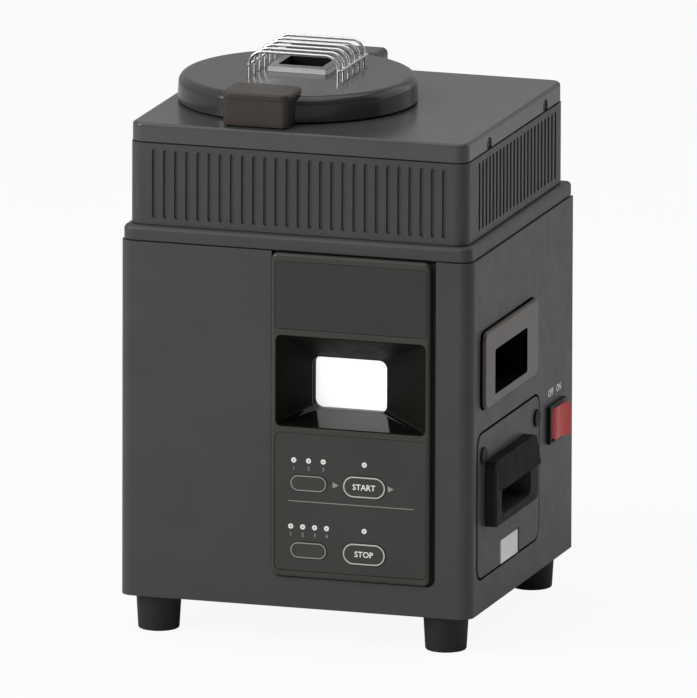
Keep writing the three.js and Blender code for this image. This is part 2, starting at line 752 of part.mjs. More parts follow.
function makeBezel() {
  const slab = softSlab('y', bezelOutline, bezelFace, bezelBack, bezel.edge, 0);
  const flange = block(
    -bezel.left - bezel.flange, bezel.right + bezel.flange,
    bezelBack - bezel.flangeThickness, bezelBack,
    bezelBottom - bezel.flange + gap, casingTop - casing.wall - gap,
  );
  const funnel = loft('y', [
    { points: nicheRing(niche.wall), at: nicheFront + bezel.edge },
    { points: displayRing(niche.wall), at: nicheBack },
  ]);
  const sleeve = prism('y', displayRing(niche.wall), nicheBack - niche.wall, sleeveBack);
  const collarOuter = display.lensMargin + niche.wall + gap;
  const collar = prism('y', displayRing(collarOuter), sleeveBack - niche.wall, collarBack);
  const behind = block(
    -bezel.left + bezel.wall + bezel.edge, bezel.right - bezel.wall - bezel.edge,
    bezelFace + bezel.wall + header.thickness, bezelBack + overrun,
    bezelTop - header.top - header.height, bezelTop - bezel.wall - bezel.edge,
  );
  const body = join(cut(join(slab, flange), behind), funnel, sleeve, collar);
  const mouthCut = loft('y', [
    { points: nicheRing(0), at: nicheFront },
    { points: displayRing(0), at: nicheBack },
  ]);
  const opening = join(
    prism('y', nicheRing(0), nicheFront - overrun, nicheFront),
    mouthCut,
    prism('y', displayRing(0), nicheBack - gap, sleeveBack + overrun),
    prism('y', displayRing(display.lensMargin + gap), sleeveBack, collarBack + overrun),
  );
  const headerSeat = prism(
    'y', plateOutline(-gap / 2), bezelFace - overrun, bezelFace + header.thickness + header.sunk,
  );
  const panelSeat = prism(
    'y', panelOutline(-gap / 2), bezelFace - overrun, bezelFace + panel.sunk + panel.thickness,
  );
  const panelHole = prism('y', panelOutline(panel.ledge), bezelFace, bezelBack + overrun);
  return join(cut(body, opening, headerSeat, panelSeat, panelHole), ...boardBosses());
}

const boardFront = bezelBack + board.bossInset - board.margin;

function boardBosses() {
  return boardBossPlaces().map(([x, z]) => (
    bar('y', board.bossRadius, bezelBack - bezel.flangeThickness / 2, boardFront, x, z)
  ));
}

function boardBossPlaces() {
  const inset = panel.ledge / 2;
  const x0 = -bezel.left + panel.side + inset;
  const x1 = bezel.right - panel.side - inset;
  const z0 = casingBottom + panel.bottom + inset;
  const z1 = casingBottom + panel.top - inset;
  return [x0, x1].flatMap((x) => [z0, z1].map((z) => [x, z]));
}

function makeHeader() {
  const from = bezelFace + header.sunk;
  return softSlab('y', plateOutline, from, from + header.thickness, header.edge, 0);
}

const keys = [
  ['taste_key', key.smallX, key.upperZ, key.smallWidth, key.smallHeight],
  ['start_key', key.largeX, key.upperZ, key.largeWidth, key.largeHeight],
  ['adjust_key', key.smallX, key.lowerZ, key.smallWidth, key.smallHeight],
  ['stop_key', key.largeX, key.lowerZ, key.largeWidth, key.largeHeight],
];

function indicatorPlaces() {
  const places = [[indicator.pairX, indicator.upperZ], [indicator.pairX, indicator.lowerZ]];
  for (let i = 0; i < indicator.trioCount; i++) {
    places.push([indicator.trioStart + i * indicator.trioPitch, indicator.upperZ]);
  }
  for (let i = 0; i < indicator.quadCount; i++) {
    places.push([indicator.quadStart + i * indicator.quadPitch, indicator.lowerZ]);
  }
  return places;
}

const panelFace = bezelFace + panel.sunk;
const panelRear = panelFace + panel.thickness;

function pill(x, z, width, height, grow) {
  return roundRect(
    x - width / 2 - grow, x + width / 2 + grow, z - height / 2 - grow, z + height / 2 + grow,
    height / 2 + grow, stepsFor(height / 2),
  );
}

function makePanel() {
  const body = softSlab('y', panelOutline, panelFace, panelRear, panel.sunk, 0);
  const holes = keys.map(([, x, z, width, height]) => (
    prism('y', pill(x, casingBottom + z, width, height, gap), panelFace - overrun, panelRear + overrun)
  ));
  for (const [x, z] of indicatorPlaces()) {
    const radius = indicator.radius + gap / 2;
    holes.push(bar('y', radius, panelFace - overrun, panelRear + overrun, x, casingBottom + z));
  }
  return cut(body, ...holes);
}

function makeKey(width, height) {
  const outline = (inset) => pill(0, 0, width, height, -inset);
  const cap = softSlab('y', outline, -key.proud, panel.thickness + key.flangeThickness, key.edge, 0);
  const lip = prism(
    'y', pill(0, 0, width, height, key.flange), panel.thickness, panel.thickness + key.flangeThickness,
  );
  return join(cap, lip);
}

// One clear moulding behind the plate, with a short pipe for each light
function makeLightGuide() {
  const half = indicator.stripHeight / 2;
  const back = panelFace + indicator.length;
  const front = back - indicator.strip;
  const pipes = indicatorPlaces().map(([x, z]) => join(
    bar(
      'y', half, panelFace - indicator.proud, panelFace, x, casingBottom + z, indicator.radius,
    ),
    bar('y', indicator.radius, panelFace, back, x, casingBottom + z),
  ));
  const xs = indicatorPlaces().map(([x]) => x);
  const rows = [indicator.upperZ, indicator.lowerZ].map((z) => block(
    Math.min(...xs), Math.max(...xs), front, back, casingBottom + z - half, casingBottom + z + half,
  ));
  const spine = block(
    indicator.spineX - half, indicator.spineX + half, front, back,
    casingBottom + indicator.lowerZ, casingBottom + indicator.upperZ,
  );
  return join(...pipes, ...rows, spine);
}

function makeControlBoard() {
  const x0 = -bezel.left + panel.side;
  const x1 = bezel.right - panel.side;
  const z0 = casingBottom + panel.bottom;
  const z1 = casingBottom + panel.top;
  const back = boardFront + board.thickness;
  const body = [block(x0, x1, boardFront, back, z0, z1)];
  const half = board.switchSize / 2;
  const reach = panelRear + key.flangeThickness + key.travel + gap;
  for (const [, x, z] of keys) {
    const cz = casingBottom + z;
    body.push(block(x - half, x + half, reach, boardFront + gap, cz - half, cz + half));
  }
  const chip = board.switchSize * 2;
  const cx = (x0 + x1) / 2;
  const cz = (z0 + z1) / 2;
  body.push(block(cx - chip, cx + chip, back - gap, back + half, cz - chip, cz + chip));
  return join(...body);
}

function makeLens() {
  const outline = (inset) => displayRing(display.lensMargin - inset);
  return softSlab('y', outline, sleeveBack, sleeveBack + display.lensThickness, 0, gap);
}

function makeLampBoard() {
  const front = sleeveBack + display.lensThickness + display.boardGap;
  const body = [prism('y', displayRing(display.lensMargin), front, front + display.boardThickness)];
  const width = display.right - display.left;
  const height = display.top - display.bottom;
  const z0 = casingBottom + display.bottom;
  for (let column = 0; column < lamp.columns; column++) {
    for (let row = 0; row < lamp.rows; row++) {
      const across = lamp.marginShare + (1 - 2 * lamp.marginShare) * (column / (lamp.columns - 1));
      const along = lamp.marginShare + (1 - 2 * lamp.marginShare) * (row / (lamp.rows - 1));
      const x = display.left + width * across;
      const z = z0 + height * along;
      const half = lamp.size / 2;
      body.push(block(x - half, x + half, front - lamp.height, front + gap, z - half, z + half));
    }
  }
  return join(...body);
}

// Power switch

const housingBottom = casingBottom + rockerHousing.bottom;
const rockerZ = housingBottom + rockerHousing.height / 2;

function makeRockerHousing() {
  const h = rockerHousing;
  const top = housingBottom + h.height;
  const outline = shrinking(housingFront, housingBack, housingBottom, top, h.corner);
  const rimFace = softSlab('x', outline, halfWidth, halfWidth + h.proud, 0, h.proud / 2);
  const body = prism(
    'x',
    roundRect(
      housingFront + h.rim, housingBack - h.rim, housingBottom + h.rim, top - h.rim, h.corner,
    ),
    halfWidth - h.depth, halfWidth + h.proud / 2,
  );
  const wellOutline = roundRect(
    rockerY - rocker.radius - gap, rockerY + rocker.radius + gap,
    rockerZ - rocker.height / 2 - gap, rockerZ + rocker.height / 2 + gap, h.corner / 2,
  );
  const well = prism('x', wellOutline, halfWidth - h.depth / 2, halfWidth + overrun);
  const step = prism(
    'x',
    roundRect(
      housingFront + h.rim, rockerY - rocker.radius, housingBottom + h.rim, top - h.rim, h.corner / 2,
    ),
    halfWidth - h.proud, halfWidth + overrun,
  );
  return cut(join(rimFace, body), well, step);
}

// The ends are round about the pivot, so that the paddle turns freely in its well
function makeRocker() {
  const { radius, root, low, high, height } = rocker;
  const lowest = Math.asin(root / radius);
  const steps = stepsFor(radius);
  const frontEnd = arc(0, 0, radius, Math.PI + lowest, Math.PI - Math.asin(low / radius), steps);
  const backEnd = arc(0, 0, radius, Math.asin(high / radius), -lowest, steps);
  const section = [...frontEnd, new THREE.Vector2(0, low), ...backEnd];
  const outline = section.map((p) => new THREE.Vector2(p.y, p.x)).reverse();
  return prism('z', outline, -height / 2, height / 2);
}

// Bean drawer

const drawerBottom = casingBottom + drawerFront.bottom;
const drawerTop = casingBottom + drawerFront.top;

function makeDrawerFront() {
  const d = drawerFront;
  const outline = shrinking(doorFront, doorBack, drawerBottom, drawerTop, d.corner);
  const skin = softSlab('x', outline, halfWidth - d.thickness, halfWidth, 0, gap);
  const pullRoom = prism(
    'x', pullOutline(-gap), halfWidth - d.thickness - overrun, halfWidth + overrun,
  );
  const plugRooms = plugYs.map((y) => bore(
    'x', drawerPlug.radius - drawerPlug.proud, halfWidth - d.thickness - overrun,
    halfWidth + overrun, y, casingBottom + drawerPlug.height,
  ));
  const plateRoom = block(
    halfWidth - drawerPlate.thickness, halfWidth + overrun,
    plateFront - gap, plateFront + drawerPlate.width + gap,
    drawerBottom - overrun, drawerBottom + drawerPlate.height + gap,
  );
  return cut(skin, pullRoom, ...plugRooms, plateRoom);
}

function pullOutline(inset) {
  return roundRect(
    pullFront + inset, pullBack - inset, casingBottom + pull.bottom + inset,
    casingBottom + pull.top - inset,
    Math.max(pull.corner - inset, pull.corner * facets.leastShare),
    stepsFor(pull.corner),
  );
}

function makePlug() {
  const d = drawerPlug;
  return join(
    bar('x', d.radius, 0, d.proud, 0, 0, d.radius - d.proud),
    bar('x', d.radius - d.proud, -d.depth, gap),
  );
}

function makePull() {
  const face = halfWidth + pull.proud;
  const bodyBack = halfWidth - pull.pocketDepth - pull.wall;
  const body = softSlab('x', pullOutline, bodyBack, face, 0, pull.edge);
  const lipZ = casingBottom + pull.lipHeight;
  const top = casingBottom + pull.top;
  const hoodSection = [
    [face - pull.edge * 2, top - pull.edge], [face + pull.lip, lipZ],
    [face + pull.lip - pull.edge, lipZ - pull.lipDrop], [face - pull.edge * 2, lipZ - pull.lipDrop],
  ].map(([x, z]) => new THREE.Vector2(x, z));
  const hood = prism('y', hoodSection, pullFront + gap, pullBack - gap);
  const pocketTop = lipZ - pull.lipDrop;
  const floor = casingBottom + pull.bottom + pull.bottomRim;
  const mouth = (low, high) => roundRect(
    pullFront + pull.frontRim, pullBack - pull.rearRim, low, high, pull.pocketCorner,
  );
  const pocket = join(
    prism('x', mouth(floor, pocketTop), bodyBack + pull.wall, face + pull.lip + overrun),
    block(
      bodyBack + pull.wall, face + pull.lip + overrun,
      pullFront + pull.frontRim, pullBack - pull.rearRim, pocketTop - pull.pocketCorner, pocketTop,
    ),
  );
  const reach = prism('x', mouth(floor, top - pull.topRim), bodyBack + pull.wall, face - pull.topRim);
  return cut(join(body, hood), pocket, reach);
}

function makeDrawerPlate() {
  const outline = roundRect(
    plateFront, plateFront + drawerPlate.width, drawerBottom, drawerBottom + drawerPlate.height,
    drawerPlate.corner,
  );
  return prism('x', outline, halfWidth - drawerPlate.thickness, halfWidth);
}

const trayFront = doorFront + tray.sideGap + bay.gap;
const trayBack = doorBack - tray.sideGap - bay.gap;
const trayBottom = drawerBottom + tray.bottomGap;
const trayRight = halfWidth - drawerFront.thickness;
const trayLeft = trayRight - tray.length;

function makeTray() {
  const outline = (inset) => roundRect(
    trayLeft + inset, trayRight - inset, trayFront + inset, trayBack - inset,
    tray.corner - inset, stepsFor(tray.corner),
  );
  const top = trayBottom + tray.height;
  const body = softSlab('z', outline, trayBottom, top, tray.rim, 0);
  const hollow = softSlab(
    'z', (inset) => outline(tray.wall + inset), trayBottom + tray.wall, top + overrun, tray.rim, 0,
  );
  const pullRoom = block(
    halfWidth - pull.pocketDepth - pull.wall - gap, halfWidth + overrun,
    pullFront - gap, pullBack + gap,
    casingBottom + pull.bottom - gap, casingBottom + pull.top + gap,
  );
  const guardWall = block(
    halfWidth - pull.pocketDepth - pull.wall - gap - tray.wall,
    halfWidth - pull.pocketDepth - pull.wall - gap,
    trayFront + tray.wall / 2, trayBack - tray.wall / 2, trayBottom + tray.wall / 2, top,
  );
  return cut(join(cut(body, hollow), guardWall), pullRoom);
}

const bayFront = doorFront + tray.sideGap;
const bayBack = doorBack - tray.sideGap;
const bayBottom = trayBottom - gap;
const bayTop = drawerTop - tray.sideGap / 2;
const bayLeft = trayLeft - bay.gap;

function makeDrawerBay() {
  const w = bay.wall;
  const right = halfWidth - drawerFront.thickness - gap;
  const shell = block(bayLeft - w, right, bayFront - w, bayBack + w, bayBottom - w, bayTop + w);
  const inside = block(bayLeft, right + overrun, bayFront, bayBack, bayBottom, bayTop);
  const beanHole = block(
    chute.left + chute.wall, chute.right - chute.wall,
    lid.y - chuteHalf + chute.wall, lid.y + chuteHalf - chute.wall, bayTop - w, bayTop + overrun,
  );
  const legs = [bayFront, bayBack - frame.lip].map((y) => (
    block(bayLeft, right - frame.lip, y, y + frame.lip, baseTop, bayBottom - w / 2)
  ));
  return cut(join(shell, ...legs), inside, beanHole);
}

// Chaff case

function makeChaffCase() {
  const c = chaffPlate;
  const z0 = casingBottom + c.bottom;
  const z1 = casingBottom + c.top;
  const plateBack = halfWidth + gap;
  const outline = shrinking(chaffFront, chaffBack, z0, z1, c.corner);
  const plate = softSlab('x', outline, plateBack, plateBack + c.thickness, 0, c.edge);
  const [y0, y1, b0, b1] = chaffInside(chaffBox.margin);
  const left = plateBack - chaffBox.length;
  const boxOutline = shrinking(y0, y1, b0, b1, chaffBox.corner);
  const box = prism('x', boxOutline(0), left, plateBack + c.thickness / 2);
  const w = chaffBox.wall;
  const hollow = prism('x', boxOutline(w), left + w, plateBack - chaffPocket.wall);
  const openTop = block(
    left + w, plateBack - chaffPocket.wall, y0 + w, y1 - w, b1 - chaffBox.corner, b1 + overrun,
  );
  const p = chaffPocket;
  const pocketOutline = (grow) => roundRect(
    chaffFront + p.front - grow, chaffBack - p.rear + grow,
    z0 + p.bottom - grow, z1 - p.top + grow,
    p.corner + grow,
  );
  const cup = prism('x', pocketOutline(p.wall), plateBack - p.depth - p.wall, plateBack);
  const pocket = prism('x', pocketOutline(0), plateBack - p.depth, plateBack + c.thickness + overrun);
  return cut(join(plate, cut(box, hollow, openTop), cup), pocket);
}

function makeChaffBay() {
  const [y0, y1, z0, z1] = chaffInside(chaffBox.margin - gap);
  const w = bay.wall;
  const left = halfWidth - chaffBox.length - bay.gap;
  const right = halfWidth - casing.wall - gap;
  const shell = block(left - w, right, y0 - w, y1 + w, z0 - w, z1 + w);
  const inside = block(left, right + overrun, y0, y1, z0, z1);
  const inletX = (left + halfWidth) / 2;
  const inlet = bar('z', chaffBox.inlet, z1 - w, z1 + overrun, inletX, y1 / 2);
  const legs = [y0 + w, y1 - w - frame.lip].map((y) => (
    block(left + w, right - frame.lip, y, y + frame.lip, bayTop + w, z0 - w / 2)
  ));
  return cut(join(shell, ...legs), inside, inlet);
}

// Lid, in its own frame: its centre at the plane of its bottom rim

function lidBody(grow) {
  const { radius, height, edge, foot: footEdge, draft } = lid;
  return lathe([
    [0, -grow], [radius - footEdge + grow, -grow], [radius + grow, footEdge],
    [radius - draft + grow, height - edge],
    ...fillet(radius - draft - edge, height - edge, edge + grow, 0, Math.PI / 2).slice(1),
    [0, height + grow],
  ]);
}

function lidHollow() {
  const { radius, height, edge, wall, draft } = lid;
  const inner = radius - wall - draft;
  return lathe([
    [0, -overrun], [inner, -overrun], [inner, height - edge],
    ...fillet(inner - edge + wall, height - edge, edge - wall, 0, Math.PI / 2).slice(1),
    [0, height - wall],
  ]);
}

function chimneyOutline(width, depth, corner = chimney.corner) {
  return roundRect(
    -width / 2, width / 2, chimney.y - depth / 2, chimney.y + depth / 2, corner,
  );
}

function hingeBlock() {
  const h = hinge;
  const outline = shrinking(
    -h.blockWidth / 2, h.blockWidth / 2, h.blockFront, h.blockBack, h.blockEdge,
  );
  const body = softSlab('z', outline, h.blockBottom, h.blockTop, 0, h.blockEdge);
  const shaftRoom = bore(
    'x', h.pinRadius, -h.blockWidth / 2 + h.lugWidth / 2, h.blockWidth / 2 - h.lugWidth / 2,
    h.y, h.z,
  );
  const lugRooms = [-1, 1].map((side) => {
    const x = side * h.lugSpan / 2;
    const half = h.lugWidth / 2 + gap * 2;
    const reach = h.knuckle + h.slack;
    const round = bar('x', reach, x - half, x + half, h.y, h.z);
    const below = block(x - half, x + half, h.y - reach, h.y + reach, 0, h.z);
    const swing = block(
      x - half, x + half, h.y, h.blockBack + overrun, h.blockBottom - overrun, h.z + reach,
    );
    return join(round, below, swing);
  });
  return cut(body, shaftRoom, ...lugRooms);
}

function makeLidShell() {
  const tunnel = prism(
    'z', chimneyOutline(chimney.openWidth + 2 * chimney.wall + 2 * gap,
      chimney.openDepth + 2 * chimney.wall + 2 * gap, chimney.corner),
    -overrun, lid.height + overrun,
  );
  return cut(join(lidBody(0), hingeBlock()), lidHollow(), tunnel);
}

function makeLiner() {
  const { radius, floor, wall, plugRadius, plugDrop, rimHeight } = liner;
  const low = floor - plugDrop;
  const body = lathe([
    [0, low], [plugRadius - wall * 2, low], [plugRadius, low + wall * 2], [plugRadius, floor],
    [radius, floor], [radius, floor + rimHeight], [radius - wall, floor + rimHeight],
    [radius - wall, floor + wall], [plugRadius - wall, floor + wall],
    [plugRadius - wall, low + wall * 2], [plugRadius - wall * 2, low + wall], [0, low + wall],
  ]);
  const tunnel = prism(
    'z', chimneyOutline(chimney.openWidth, chimney.openDepth), low - overrun, floor + overrun,
  );
  return cut(body, tunnel);
}

function makeGasket() {
  const bottom = pot.flangeThickness - lid.gap + gap;
  return ring(gasket.outer, gasket.inner, bottom, liner.floor);
}

function makeHandle() {
  const h = handle;
  const outline = shrinking(-h.width / 2, h.width / 2, -h.reach, -h.reach + h.depth, h.corner);
  const body = softSlab('z', outline, -h.drop, h.height - h.drop, h.edge / 2, h.edge);
  return cut(body, lidBody(gap));
}

function makeChimney() {
  const c = chimney;
  const top = lid.height + c.height;
  const rings = [
    { points: chimneyOutline(c.width + c.flare * 2, c.depth + c.flare * 2), at: lid.height },
    { points: chimneyOutline(c.width + c.edge, c.depth + c.edge), at: top - c.edge },
    { points: chimneyOutline(c.width - c.edge, c.depth - c.edge), at: top },
  ];
  const outerW = c.openWidth + 2 * c.wall;
  const outerD = c.openDepth + 2 * c.wall;
  const low = liner.floor - liner.plugDrop + liner.wall;
  const well = prism('z', chimneyOutline(outerW, outerD), low, top - c.edge);
  const mouth = chimneyOutline(c.openWidth, c.openDepth, c.corner / 2);
  const hole = prism('z', mouth, low - overrun, top + overrun);
  const bars = [-1, 1].map((side) => {
    const y = c.y + side * c.baffleSpread;
    const z = top - c.baffleDrop;
    return block(
      -c.openWidth / 2 - c.wall / 2, c.openWidth / 2 + c.wall / 2,
      y - c.baffleBar / 2, y + c.baffleBar / 2, z - c.wall, z,
    );
  });
  return join(cut(join(loft('z', rings), well), hole), ...bars);
}

// A bent wire in a plane across the object: each bend is a quarter round between straight runs
function hoop(y, bottom, top) {
  const half = guard.legSpan / 2;
  const { bend, wire } = guard;
  const spine = [
    new THREE.Vector2(half, bottom),
    ...arc(half - bend, top - bend, bend, 0, Math.PI / 2, stepsFor(bend)),
    ...arc(-half + bend, top - bend, bend, Math.PI / 2, Math.PI, stepsFor(bend)),
    new THREE.Vector2(-half, bottom),
  ];
  const sides = sidesFor(wire);
  const corners = [];
  spine.forEach((p, i) => {
    const before = spine[Math.max(i - 1, 0)];
    const after = spine[Math.min(i + 1, spine.length - 1)];
    const along = after.clone().sub(before).normalize();
    for (let side = 0; side < sides; side++) {
      const turn = (2 * Math.PI * side) / sides;
      const out = wire * Math.cos(turn);
      corners.push(p.x + out * along.y, y + wire * Math.sin(turn), p.y - out * along.x);
    }
  });
  return tubeSolid(corners, spine.length, sides);
}

function tubeSolid(corners, rings, sides) {
  const index = [];
  for (let level = 0; level + 1 < rings; level++) {
    for (let i = 0; i < sides; i++) {
      const next = (i + 1) % sides;
      const [a, b] = [level * sides + i, level * sides + next];
      index.push(a, b, b + sides, a, b + sides, a + sides);
    }
  }
  const last = (rings - 1) * sides;
  for (let i = 1; i + 1 < sides; i++) {
    index.push(0, i + 1, i);
    index.push(last, last + i, last + i + 1);
  }
  const geometry = new THREE.BufferGeometry();
  geometry.setAttribute('position', new THREE.Float32BufferAttribute(corners, 3));
  geometry.setIndex(index);
  return solid(geometry);
}

function makeGuard() {
  const half = guard.legSpan / 2;
  const span = (guard.hoops - 1) * guard.pitch;
  const wires = [];
  for (let i = 0; i < guard.hoops; i++) {
    wires.push(hoop(guard.y - span / 2 + i * guard.pitch, lid.height, lid.height + guard.height));
  }
  for (const side of [-1, 1]) {
    const x = side * (half + guard.wire + guard.railWire - guard.weld);
    const end = span / 2 + guard.railOverhang;
    const z = lid.height + guard.railHeight;
    wires.push(bar('y', guard.railWire, guard.y - end, guard.y + end, x, z));
  }
  return join(...wires);
}

// Hinge bracket, fixed on the top cover behind the lid
function makeHingeBracket() {
  const h = hinge;
  const floor = -lid.gap;
  const leaf = prism('z', roundRect(
    -h.lugSpan / 2 - h.lugWidth, h.lugSpan / 2 + h.lugWidth, h.y - h.knuckle, h.leafBack,
    h.leafThickness,
  ), floor, floor + h.leafThickness);
  const lugs = [-1, 1].map((side) => {
    const x = side * h.lugSpan / 2;
    const [x0, x1] = [x - h.lugWidth / 2, x + h.lugWidth / 2];
    return join(
      bar('x', h.knuckle, x0, x1, h.y, h.z),
      block(x0, x1, h.y - h.knuckle, h.y + h.knuckle, floor + h.leafThickness / 2, h.z),
    );
  });
  const shaftRoom = bore('x', h.pinRadius, -h.pinLength, h.pinLength, h.y, h.z);
  return cut(join(leaf, ...lugs), shaftRoom);
}

function makeHingePin() {
  const h = hinge;
  const end = (h.pinLength - h.lugWidth) / 2;
  return bar('x', h.pinRadius, -end, end, h.y, h.z);
}

// Roasting pot and what drives it, in a frame on the pot's axis

function spoutBox(grow, from, to) {
  const z = potBottom + spout.lift;
  return block(
    from, to, -spout.width / 2 - grow, spout.width / 2 + grow, z - grow, z + spout.height + grow,
  );
}

function makePot() {
  const p = pot;
  const inner = p.radius - p.wall;
  const body = lathe([
    [0, potBottom], [p.radius - p.bend, potBottom],
    ...fillet(p.radius - p.bend, potBottom + p.bend, p.bend, -Math.PI / 2, 0).slice(1),
    [p.radius, coverTop], [p.flangeRadius, coverTop], [p.flangeRadius, coverTop + p.flangeThickness],
    [inner, coverTop + p.flangeThickness],
    ...fillet(p.radius - p.bend, potBottom + p.bend, p.bend - p.wall, 0, -Math.PI / 2),
    [0, potBottom + p.wall],
  ]);
  const boss = bar('z', p.bossRadius, potBottom - p.bossDrop, potBottom + p.bossRise);
  const shaftHole = bore(
    'z', agitator.shaftRadius, potBottom - p.bossDrop - overrun, potBottom + overrun * 2,
  );
  const holes = [];
  for (const [radius, count] of [[p.innerRing, p.innerHoles], [p.outerRing, p.outerHoles]]) {
    for (let i = 0; i < count; i++) {
      const turn = (2 * Math.PI * i) / count;
      holes.push(bar(
        'z', p.holeRadius, potBottom - overrun, potBottom + p.wall + gap,
        radius * Math.cos(turn), radius * Math.sin(turn),
      ));
    }
  }
  const inside = bar('z', inner, potBottom + p.wall, coverTop);
  const nose = cut(spoutBox(spout.wall, inner - p.bend, spout.reach), inside);
  const throat = spoutBox(0, inner - p.bend * 2, spout.reach + overrun);
  return cut(join(body, boss, nose), shaftHole, throat, sensorHole(sensor.radius + gap), ...holes);
}

function sensorRod(radius, from, to, sides = sidesFor(radius)) {
  const rod = new THREE.CylinderGeometry(radius, radius, to - from, sides);
  rod.rotateZ(Math.PI / 2);
  rod.translate((from + to) / 2, 0, 0);
  rod.rotateZ(THREE.MathUtils.degToRad(sensor.angle));
  rod.translate(0, 0, potBottom + sensor.lift);
  return solid(rod);
}

function sensorHole(radius) {
  return sensorRod(radius, pot.radius - pot.bend * 2, jacket.radius + overrun * 2);
}

function makeSensor() {
  const end = jacket.radius + sensor.collar;
  return join(
    sensorRod(sensor.radius, end - sensor.length, end),
    sensorRod(sensor.collarRadius, jacket.radius + gap, end, sensor.collarSides),
  );
}

const ductHalf = blower.width / 2;
const ductX = -blower.x - lid.x;
const neckBottom = jacketBottom + duct.neckBottom;
const neckTop = neckBottom + duct.neckHeight;

function makeJacket() {
  const j = jacket;
  const inner = j.radius - j.wall;
  const top = coverUnder - j.topGap;
  const floorTop = jacketBottom + j.wall;
  const shell = lathe([
    [j.shaftHole, jacketBottom], [j.radius, jacketBottom], [j.radius, top], [inner, top],
    [inner, floorTop], [j.shaftHole, floorTop], [j.shaftHole, jacketBottom],
  ]);
  const w = duct.wall;
  const neck = block(
    ductX - ductHalf, ductX + ductHalf, 0, duct.neckFront, neckBottom, neckTop,
  );
  const air = block(
    ductX - ductHalf + w, ductX + ductHalf - w, 0, duct.neckFront + overrun,
    neckBottom + w, neckTop - w,
  );
  const inside = bar('z', inner, floorTop, top);
  const nosePass = spoutBox(spout.wall + gap, inner - overrun, spout.reach + overrun);
  return cut(join(shell, cut(neck, inside)), air, nosePass, sensorHole(sensor.radius + gap));
}

function makeAgitator() {
  const a = agitator;
  const bottom = potBottom + pot.bossRise + gap;
  const shaftLow = deckBottom - frame.bushDrop;
  const shaft = bar('z', a.shaftRadius, shaftLow, bottom + a.hubHeight);
  const hub = lathe([
    [0, bottom], [a.hubRadius, bottom], [a.hubRadius, bottom + a.collarHeight],
    [a.shaftRadius, bottom + a.hubHeight], [0, bottom + a.hubHeight],
  ]);
  const low = potBottom + pot.wall + a.bladeGap;
  const blades = [0, 1].map((number) => {
    const curve = new THREE.QuadraticBezierCurve(
      new THREE.Vector2(0, 0),
      new THREE.Vector2(a.bladeReach / 2, a.sweep),
      new THREE.Vector2(a.bladeReach, -a.tipSweep),
    );
    const spine = curve.getPoints(a.curvePoints);
    const half = a.bladeThickness / 2;
    const outline = [
      ...spine.map((p) => new THREE.Vector2(p.x, p.y - half)),
      ...spine.slice().reverse().map((p) => new THREE.Vector2(p.x, p.y + half)),
    ];
    const reach = a.bladeReach - pot.bend / 2;
    const paddle = cut(
      prism('z', outline, low, low + a.bladeHeight),
      block(
        reach, a.bladeReach + overrun, -a.bladeReach, a.bladeReach,
        low - overrun, potBottom + pot.bend / 2,
      ),
      block(
        -a.hubRadius, a.hubRadius + overrun / 2, -a.hubRadius, a.hubRadius, low - overrun, bottom,
      ),
    );
    const wiper = block(
      a.bladeReach - a.wiperWidth, a.bladeReach, -a.tipSweep - half, -a.tipSweep + half,
      low + a.bladeHeight - a.bladeThickness, low + a.bladeHeight + (number === 0 ? a.wiperHeight : 0),
    );
    return join(paddle, wiper).rotate([0, 0, 180 * number]);
  });
  return join(shaft, hub, ...blades);
}

// A spur gear's outline: each flank is the chord of the involute of its base circle
function gearOutline(teeth) {
  const pitch = gear.module * teeth / 2;
  const pressure = THREE.MathUtils.degToRad(gear.pressure);
  const baseRadius = pitch * Math.cos(pressure);
  const tip = pitch + gear.module;
  const root = pitch - gear.module * gear.dedendumShare;
  const involute = (angle) => Math.tan(angle) - angle;
  const atBase = Math.PI / (2 * teeth) - gear.backlash / (2 * pitch) + involute(pressure);
  const atTip = atBase - involute(Math.acos(baseRadius / tip));
  const points = [];
  for (let tooth = 0; tooth < teeth; tooth++) {
    const middle = (2 * Math.PI * tooth) / teeth;
    for (const [radius, turn] of [[root, -atBase], [tip, -atTip], [tip, atTip], [root, atBase]]) {
      points.push(new THREE.Vector2(
        radius * Math.cos(middle + turn), radius * Math.sin(middle + turn),
      ));
    }
  }
  return points;
}

const gearBottom = deckTop + gear.lift;
const gearTop = gearBottom + gear.thickness;
const centreDistance = gear.module * (gear.teeth + gear.pinionTeeth) / 2;
const motorX = -centreDistance;

function makeGear() {
  const body = prism('z', gearOutline(gear.teeth), gearBottom, gearTop);
  const recessDepth = (gear.thickness - gear.webThickness) / 2;
  const rim = gear.module * gear.teeth / 2 - gear.rimDepth;
  const recess = cut(
    bar('z', rim, gearTop - recessDepth, gearTop + overrun),
    bar('z', gear.hubRadius, gearBottom, gearTop + overrun),
  );
  const holes = [];
  for (let i = 0; i < gear.holes; i++) {
    const turn = (2 * Math.PI * i) / gear.holes;
    holes.push(bar(
      'z', gear.lighten, gearBottom - overrun, gearTop + overrun,
      gear.lightenRing * Math.cos(turn), gear.lightenRing * Math.sin(turn),
    ));
  }
  const shaftRoom = bore(
    'z', agitator.shaftRadius, gearBottom - overrun, gearTop + overrun,
  );
  return cut(body, recess, shaftRoom, ...holes);
}

function makePinion() {
  const body = prism('z', gearOutline(gear.pinionTeeth), gearBottom, gearTop);
  const turned = body.rotate([0, 0, 180 / gear.pinionTeeth]);
  const shaftRoom = bore('z', motor.shaftRadius, gearBottom - overrun, gearTop + overrun);
  return cut(turned, shaftRoom).translate([motorX, 0, 0]);
}

